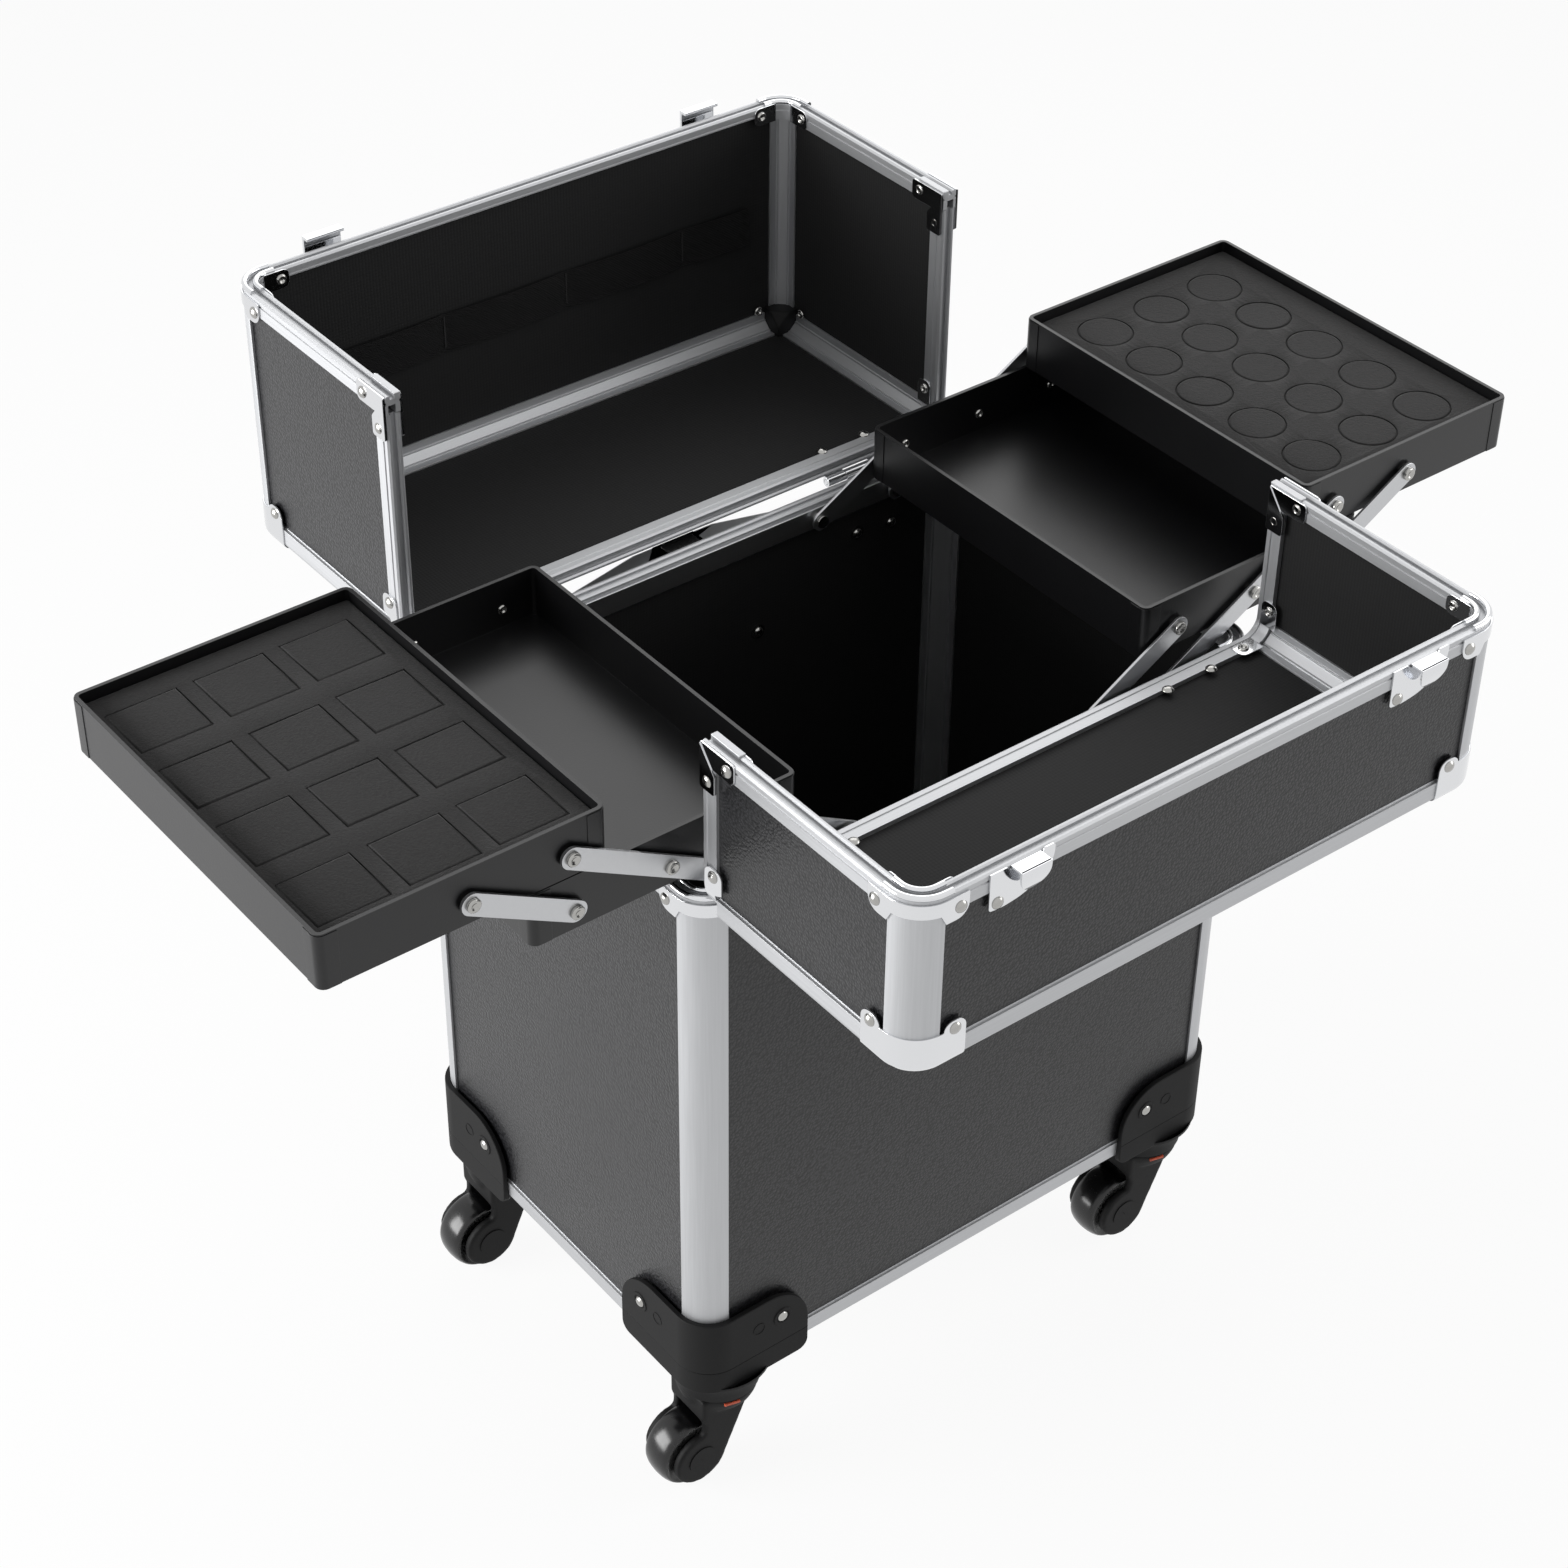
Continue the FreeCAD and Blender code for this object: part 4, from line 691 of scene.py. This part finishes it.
PLUGS = {"left": (4, math.sqrt(2), SQUARE, (-324.5, -280.3, -236.1), (-75.3, -26.8, 21.7, 70.2)),
         "right": (48, PLUG_ROUND, Matrix(), (236.6, 276.2, 315.0), (-77.8, -39.6, -1.4, 36.2, 73.4))}
for side, (steps, radius, form, columns, rows) in PLUGS.items():
    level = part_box(f"{side}_foam")[1].z * 1000
    slab = softened(f"{side}_foam", 0.8)
    face = max(slab.faces, key=lambda f: f.calc_area() * f.normal.z)
    border = face.edges[:]
    bmesh.ops.delete(slab, geom=[face], context="FACES_ONLY")
    for count, middle in enumerate([Vector((x, y, level)) for x in columns for y in rows]):
        place = Matrix.Translation(middle) @ form
        ring = bmesh.ops.create_circle(slab, segments=steps, radius=radius, matrix=place)["verts"]
        edges = list({e for v in ring for e in v.link_edges})
        border += edges
        tilt = Vector((math.sin(count * 2.3), math.cos(count * 1.7))) * PLUG_TILT
        crown = PLUG_PROUD + PLUG_UNEVEN * math.sin(count * 3.1)
        for inset, height in ((0, -KERF_DEEP), (KERF, -KERF_DEEP), (KERF, -KERF_EDGE), (KERF + KERF_ROUND, crown)):
            made = bmesh.ops.extrude_edge_only(slab, edges=edges)["geom"]
            edges = kept(made, bmesh.types.BMEdge)
            for vert in kept(made, bmesh.types.BMVert):
                off = (vert.co - middle).to_2d()
                if side == "left":
                    off -= Vector((math.copysign(inset, off.x), math.copysign(inset, off.y)))
                else:
                    off *= 1 - inset / off.length
                lean = off.dot(tilt) if height > -KERF_DEEP else 0
                vert.co = middle + off.to_3d() + Z * (height + lean)
        bmesh.ops.edgeloop_fill(slab, edges=edges)
    bmesh.ops.triangle_fill(slab, edges=border, use_beauty=True)
    bmesh.ops.recalc_face_normals(slab, faces=slab.faces)
    pad = piece(f"{side}_foam_insert", slab, foam, f"{side}_upper_tray", "foam", f"{side}_foam")


# Caster brackets: black nylon shells round the body's low corners, with a turret below for the fork's pin. A
# fine parting line runs round each, and the rivets sit in raised rings.
BRACKET_LOW, BRACKET_LEG, BRACKET_PROUD, END_ROUND, END_SIZE, END_TURN = 76.0, 64.0, 3.2, 6.0, 4.0, 1.2
PARTING, PARTING_WIDE, PARTING_DEEP, COLLAR_HIGH, COLLAR_PLACE, MARK_PLACE = 90.0, 0.5, 0.4, 108.0, 47.5, 33.0
BELL = [(28, 78), (28, 76.2), (26.4, 75.4), (24.8, 73.6), (23.6, 70.5), (22.8, 66.5), (22.2, 62.2), (20, 62.05)]
SWIVEL_X, SWIVEL_Y = 145.0, 96.0
shells = softened("caster_brackets", 0)
leg_ends = [half - BRACKET_LEG + BRACKET_PROUD for half in (HALF_LEN, HALF_DEP)]
ends = [e for e in shells.edges if e.is_manifold and all(abs(v.co.z - BRACKET_LOW) < 0.1 for v in e.verts)
        and any(all(abs(abs(v.co[axis]) - leg_ends[axis]) < END_SIZE for v in e.verts) for axis in (0, 1))
        and e.calc_face_angle() > END_TURN and e.calc_length() < END_SIZE]
shells = eased(bevelled(shells, ends, END_ROUND, 5), 1.0, segments=3)
for height in (PARTING, PARTING + PARTING_WIDE):
    scored(shells, Z * height, Z)
line = [f for f in shells.faces if PARTING < f.calc_center_median().z < PARTING + PARTING_WIDE
        and f.normal.dot(f.calc_center_median().to_2d().to_3d()) > 0]
bmesh.ops.inset_region(shells, faces=line, thickness=0.02, depth=-PARTING_DEEP, use_even_offset=True)
COLLAR = [(5.6, -0.5), (5.6, 0.15), (5.2, 0.5), (4.2, 0.5), (3.5, 0.1), (3.3, -0.6)]
MARK = [(3.6, -0.3), (3.6, 0.2), (3.2, 0.2), (3.2, -0.3)]
collars = []
for x in (-1, 1):
    for y in (-1, 1):
        collars.append(laid(spun(BELL, 48), (x * SWIVEL_X, y * SWIVEL_Y, 0), X, Y, Z))
        for profile, place in ((COLLAR, COLLAR_PLACE), (MARK, MARK_PLACE)):
            for inset, other, up in ((-BRACKET_PROUD, place, X * x), (place, -BRACKET_PROUD, Y * y)):
                spot = (x * (HALF_LEN - inset), y * (HALF_DEP - other), COLLAR_HIGH)
                collars.append(set_on(spun(profile), spot, up))
piece("caster_corner_brackets", gathered([shells, *collars]), nylon, "case", "moulded_black", "caster_brackets")


# Casters: a nylon fork moulded in one with its hood and its round axle bosses, with a raised swirl on each boss and
# a stamped orange mark under the turret; the wheel is one glossy polyurethane moulding.
def melted(shape, grain, passes):
    """Runs a shape's parts together with round inner corners, as in one moulding."""
    rough = bpy.data.meshes.new("melting")
    shape.to_mesh(rough)
    shape.free()
    holder = bpy.data.objects.new("melting", rough)
    in_scene.link(holder)
    remesh = holder.modifiers.new("remesh", "REMESH")
    remesh.mode = "VOXEL"
    remesh.voxel_size = grain
    smooth = holder.modifiers.new("smooth", "SMOOTH")
    smooth.factor = 0.5
    smooth.iterations = passes
    result = bpy.data.meshes.new_from_object(holder.evaluated_get(bpy.context.evaluated_depsgraph_get()))
    made = bmesh.new()
    made.from_mesh(result)
    bpy.data.objects.remove(holder)
    bpy.data.meshes.remove(rough)
    bpy.data.meshes.remove(result)
    return made


def swirl(radius, height):
    """A raised comma: half a disc with an S-shaped edge."""
    shape = bmesh.new()
    front = [shape.verts.new((-radius, 0, 0))]
    for middle, turn in ((0, -math.pi), (radius / 2, -math.pi), (-radius / 2, math.pi)):
        front = bmesh.ops.spin(shape, geom=front, cent=X * middle, axis=Z, angle=turn, steps=14)["geom_last"]
    bmesh.ops.remove_doubles(shape, verts=shape.verts, dist=0.01)
    bmesh.ops.contextual_create(shape, geom=shape.edges[:])
    return eased(raised(shape, height), 0.25)


# Polyurethane: moulded glossy and near black, with faint scuffs of 6 mm that dull the tread.
urethane = bare("glossy_polyurethane")
place = add(urethane, "TexCoord")["Object"]
scuff = add(urethane, "TexNoise", {"Vector": place, "Scale": 1 / 0.006, "Detail": 5.0, "Roughness": 0.7})["Fac"]
tint = add(urethane, "Mix", {0: scuff, 6: linear("#060607"), 7: linear("#0e0e0f")}, data_type="RGBA")[2]
gloss = add(urethane, "MapRange", {"Value": scuff, "From Min": 0.3, "From Max": 0.7, "To Min": 0.16,
                                   "To Max": 0.3})["Result"]
skin = add(urethane, "BsdfPrincipled", {"Base Color": tint, "Roughness": gloss, "IOR": 1.5})
add(urethane, "OutputMaterial", {"Surface": skin["BSDF"]})

# Hot-stamped foil: a flat orange film, worn darker in spots of 1.5 mm.
orange = bare("orange_stamped_foil")
place = add(orange, "TexCoord")["Object"]
worn = add(orange, "TexNoise", {"Vector": place, "Scale": 1 / 0.0015, "Detail": 3.0})["Fac"]
worn = add(orange, "MapRange", {"Value": worn, "From Min": 0.55, "From Max": 0.8})["Result"]
tint = add(orange, "Mix", {0: worn, 6: linear("#e2613f"), 7: linear("#9a4630")}, data_type="RGBA")[2]
skin = add(orange, "BsdfPrincipled", {"Base Color": tint, "Roughness": 0.45})
add(orange, "OutputMaterial", {"Surface": skin["BSDF"]})

TRAIL, WHEEL_ROUND, ARM_IN, ARM_OUT, BOSS_ROUND = 20.0, 21.0, 9.7, 14.4, 15.6
WEB_LOW, WEB_HIGH, MELT_GRAIN, MELT_PASSES = (-19, -10.2, 46.6), (11, 10.2, 61), 0.8, 14
SWIRL_ROUND, SWIRL_TALL, SWIRL_SUNK, SWIRL_COS, SWIRL_SIN = 8.0, 0.9, 0.4, 0.94, 0.34
FLAG_LOW, FLAG_HIGH, FLAG_COS, FLAG_SIN = (-4.2, -0.8, -1), (4.2, 0.8, 0.4), 0.966, 0.259
FLAG_SPOT = Vector((-5.6, -20.6, 59.2))
TREAD = [(3.1, -6.4), (9, -6.4), (15.4, -6.9), (17.6, -8.2), (18.4, -8.8), (19.1, -8.6), (19.8, -7.6), (20.4, -5.8),
         (20.8, -3.4), (20.95, -1.6), (21.0, 0)]
TREAD += [(radius, -side) for radius, side in TREAD[-2::-1]] + TREAD[:1]
HOOD = [(0, 61.5), (21.4, 61.5), (20.8, 57), (18.6, 52), (14, 48), (0, 46.5)]
ARM = [(15, 61), (10.5, 52), (-5.9, 15), (-20, 8), (-20, 35.5), (-18, 38), (-17.5, 43), (-19, 48), (-19, 61)]
for depth, y in (("front", -1), ("rear", 1)):
    for side, x in (("left", -1), ("right", 1)):
        fork, wheel = f"caster_fork_{depth}_{side}", f"caster_wheel_{depth}_{side}"
        centre = Vector((x * SWIVEL_X, y * SWIVEL_Y, 0))
        axle = centre + Vector((-TRAIL, 0, WHEEL_ROUND))
        hood = [laid(shape, centre, X, Y, Z) for shape in (spun(HOOD, 48), block(WEB_LOW, WEB_HIGH))]
        marks = []
        for way in (-1, 1):
            arm = raised(outline(ARM), ARM_OUT - ARM_IN)
            hood.append(laid(arm, centre + Y * way * ARM_IN, X, Z, Y * way))
            boss = [(0, 0), (BOSS_ROUND, 0), (BOSS_ROUND, ARM_OUT - ARM_IN), (0, ARM_OUT - ARM_IN)]
            hood.append(set_on(spun(boss, 48), axle + Y * way * ARM_IN, Y * way))
            marks.append(laid(swirl(SWIRL_ROUND, SWIRL_TALL), axle + Y * way * (ARM_OUT - SWIRL_SUNK),
                              X * SWIRL_COS + Z * SWIRL_SIN, X * -SWIRL_SIN + Z * SWIRL_COS, Y * way))
        hood = [melted(gathered(hood), MELT_GRAIN, MELT_PASSES), *marks]
        piece(f"{fork}_hood", gathered(hood), nylon, f"caster_{depth}_{side}", "moulded_black", fork, crease=80)
        flag = laid(eased(block(FLAG_LOW, FLAG_HIGH), 0.3), centre + FLAG_SPOT, X * FLAG_COS - Y * FLAG_SIN, Z,
                    X * -FLAG_SIN - Y * FLAG_COS)
        piece(f"{fork}_mark", flag, orange, f"caster_{depth}_{side}", "moulded_black")
        tread = laid(spun(TREAD, 56), axle, X, Z, -Y)
        piece(f"{wheel}_tread", tread, urethane, f"wheel_{depth}_{side}", "wheel", wheel)


# Telescopic handle behind the rear wall: aluminium sleeves held in two nylon mounts, sliding tubes, and a nylon
# grip lacquered silver grey, with a black release button in a pocket in its top. Only the grip's outer edges are
# rounded, so that the pocket keeps its room.
# Silver lacquer: fine metal flakes in a satin coat that clouds a little over 6 mm.
lacquer = plated("silver_grey_lacquer", "#c9cacc", 0.42, 0.006)
HANDLE_X, HANDLE_Y, SLEEVE_ROUND, GRIP_ROUND, GRIP_TURN = 60.0, 127.5, 7.0, 2.4, 0.5
THUMB_DROP, THUMB_EDGE, THUMB_DISH = 0.3, 1.2, 0.4
sleeves = softened("handle_sleeves", 0.8)
for face in sleeves.faces:
    middle = face.calc_center_median()
    if math.hypot(abs(middle.x) - HANDLE_X, middle.y - HANDLE_Y) < SLEEVE_ROUND + 0.02:
        face.material_index = 1
piece("handle_sleeves_and_mounts", sleeves, [nylon, satin["z"]], "case", "moulded_black", "handle_sleeves")
piece("handle_sliding_tubes", softened("handle_tubes", 0.2), satin["z"], "handle", "aluminium", "handle_tubes")
grip = softened("handle_grip", 0)
outer = [e for e in grip.edges if e.is_convex and e.calc_face_angle() > GRIP_TURN]
grip = bevelled(grip, outer, GRIP_ROUND, 4, clamp=True)
piece("handle_grip_bar", grip, lacquer, "handle", "aluminium", "handle_grip")
release = softened("handle_button", 0.8, segments=3)
thumb = max(release.faces, key=lambda f: f.calc_center_median().z)
bmesh.ops.translate(release, vec=Z * -THUMB_DROP, verts=thumb.verts)
bmesh.ops.inset_region(release, faces=[thumb], thickness=THUMB_EDGE, depth=-THUMB_DISH)
piece("handle_release", release, urethane, "handle_button", "moulded_black", "handle_button")


# Elastic brush strap across the far wall of the rear lid: woven black webbing with rubber threads, stitched down
# every 75 mm so that it stands off in shallow loops.
# Woven elastic: ribs along its length 0.8 mm apart, drawn at about 1 mm, dull with a faint sheen.
elastic = bare("woven_black_elastic")
place = add(elastic, "TexCoord")["Object"]
rib = add(elastic, "TexWave", {"Vector": place, "Scale": 312.34158, "Distortion": 0.4},
          wave_type="BANDS", bands_direction="Z")["Fac"]
pick = add(elastic, "TexNoise", {"Vector": place, "Scale": 1 / 0.0012, "Detail": 2.0})["Fac"]
tint = add(elastic, "Mix", {0: pick, 6: linear("#060607"), 7: linear("#101011")}, data_type="RGBA")[2]
relief = add(elastic, "Bump", {"Height": rib, "Strength": 0.5, "Distance": 0.0004})["Normal"]
skin = add(elastic, "BsdfPrincipled", {"Base Color": tint, "Roughness": 0.85, "Normal": relief, "Sheen Weight": 0.1})
add(elastic, "OutputMaterial", {"Surface": skin["BSDF"]})
STRAP_WALL, STRAP_LOW, STRAP_HIGH, STRAP_THICK, LOOP, LOOP_RISE = 255.5, 460.5, 481.5, 1.2, 75.2, 2.2
STRAP_ENDS, STITCHES, LOOP_CURVE = (-148.0, 138.0), (-130.6, -55.4, 19.8, 95.0), 0.7
SEAM_WIDE, SEAM_PROUD, SEAM_DEEP, SEAM_SHORT = 1.0, 0.7, 0.6, 1.5
face = STRAP_WALL - STRAP_THICK
band = bmesh.new()
bmesh.ops.create_grid(band, x_segments=96, y_segments=4, size=0.5)
for vert in band.verts:
    x = STRAP_ENDS[0] + (vert.co.x + 0.5) * (STRAP_ENDS[1] - STRAP_ENDS[0])
    rise = LOOP_RISE * abs(math.sin(math.pi * (x - STITCHES[0]) / LOOP)) ** LOOP_CURVE if STITCHES[0] < x else 0
    vert.co = (x, face - rise, STRAP_LOW + (vert.co.y + 0.5) * (STRAP_HIGH - STRAP_LOW))
bmesh.ops.solidify(band, geom=band.faces[:], thickness=STRAP_THICK)
seams = [eased(block((x - SEAM_WIDE / 2, face - SEAM_PROUD, STRAP_LOW + SEAM_SHORT),
                     (x + SEAM_WIDE / 2, face + SEAM_DEEP, STRAP_HIGH - SEAM_SHORT)), 0.3) for x in STITCHES]
piece("brush_strap", gathered([band, *seams]), elastic, "rear_lid", "panel")


# Screws of the handle's mounts, seen from inside on the rear wall: nickel-plated round heads on washers, each
# place given by its distance from the middle and from the rim's top.
SCREW_PLACES, WALL_INSIDE = ((38.0, 68.0), (103.5, 32.0), (126.7, 34.0)), 5.5
SCREW = [(4.2, 0), (4.2, 0.6), (2.9, 0.7), (2.7, 1.4), (1.8, 2.0), (0.8, 2.2), (0, 2.25)]
screws = [set_on(spun(SCREW), (x * place, HALF_DEP - WALL_INSIDE, RIM_TOP - drop), -Y)
          for x in (-1, 1) for place, drop in SCREW_PLACES]
piece("inner_screws", gathered(screws), nickel, "case", "rivet", crease=50)


# Floor, light and camera: a white paper floor in a white room, soft lamps from the left, the right and the back,
# and the camera over the front left corner.
def in_sight(owner):
    """1 for rays of the camera and of what metal and glass show, 0 for the light that falls on things."""
    path = add(owner, "LightPath")
    shown = add(owner, "Math", {0: path["Is Glossy Ray"], 1: path["Is Transmission Ray"]}, operation="MAXIMUM")[0]
    return add(owner, "Math", {0: shown, 1: path["Is Camera Ray"]}, operation="MAXIMUM")[0]


# Matt white paper: it shows as plain white, also in the metal, with a little of the case's shadow on it.
SHADOWLESS, FLOOR_ROUND, ROOM_LIGHT = 0.93, 20.0, 0.15
paper = bare("matt_white_paper")
shown = add(paper, "Math", {0: in_sight(paper), 1: SHADOWLESS}, operation="MULTIPLY")[0]
fibre = add(paper, "TexNoise", {"Vector": add(paper, "TexCoord")["Object"], "Scale": 1 / 0.3})["Fac"]
tint = add(paper, "Mix", {0: fibre, 6: linear("#f3f3f3"), 7: linear("#f7f7f7")}, data_type="RGBA")[2]
matt = add(paper, "BsdfDiffuse", {"Color": tint})["BSDF"]
glow = add(paper, "Emission", {"Color": linear("#ffffff"), "Strength": 1.0})["Emission"]
add(paper, "OutputMaterial", {"Surface": add(paper, "MixShader", {0: shown, 1: matt, 2: glow})["Shader"]})
ground = bmesh.new()
bmesh.ops.create_circle(ground, cap_ends=True, segments=64, radius=FLOOR_ROUND)
floor = bpy.data.objects.new("floor", bpy.data.meshes.new("floor"))
ground.to_mesh(floor.data)
ground.free()
floor.data.materials.append(paper)
in_scene.link(floor)

world = bpy.data.worlds.new("studio")
bpy.context.scene.world = world
world.use_nodes = True
world.node_tree.nodes.clear()
level = add(world, "Mix", {0: in_sight(world), 2: ROOM_LIGHT, 3: 1.0})[0]
add(world, "OutputWorld", {"Surface": add(world, "Background", {"Color": linear("#ffffff"), "Strength": level})[0]})

LAMP_AIM = Vector((0, 0, 0.35))


def lamp(name, spot, size, power):
    """A square soft lamp that faces the case."""
    data = bpy.data.lights.new(name, "AREA")
    data.size = size
    data.energy = power
    made = bpy.data.objects.new(name, data)
    made.location = spot
    made.rotation_euler = (LAMP_AIM - Vector(spot)).to_track_quat("-Z", "Y").to_euler()
    in_scene.link(made)


lamp("lamp_left", (-1.5, 0.6, 0.6), 1.0, 34)
lamp("lamp_right", (1.3, -0.8, 0.9), 1.0, 9)
lamp("lamp_back", (0.8, 1.0, 1.4), 1.6, 10)

AZIMUTH, ELEVATION, ROLL = math.radians(-38.13), math.radians(37.80), math.radians(0.71)
DISTANCE, FOCAL_PIXELS, IMAGE_PIXELS, SENSOR = 1.631, 3259.65, 1568, 36
TARGET = Vector((-0.01925, 0.0150, 0.31042))
back = Vector((math.sin(AZIMUTH) * math.cos(ELEVATION), -math.cos(AZIMUTH) * math.cos(ELEVATION),
               math.sin(ELEVATION)))
right = Vector((math.cos(AZIMUTH), math.sin(AZIMUTH), 0))
up = back.cross(right)
right, up = right * math.cos(ROLL) + up * math.sin(ROLL), up * math.cos(ROLL) - right * math.sin(ROLL)
camera = bpy.data.objects.new("camera", bpy.data.cameras.new("camera"))
camera.data.sensor_width = SENSOR
camera.data.lens = SENSOR * FOCAL_PIXELS / IMAGE_PIXELS
camera.matrix_world = Matrix.Translation(TARGET + back * DISTANCE) @ Matrix((right, up, back)).transposed().to_4x4()
in_scene.link(camera)
bpy.context.scene.camera = camera
bpy.context.scene.view_settings.view_transform = "Standard"
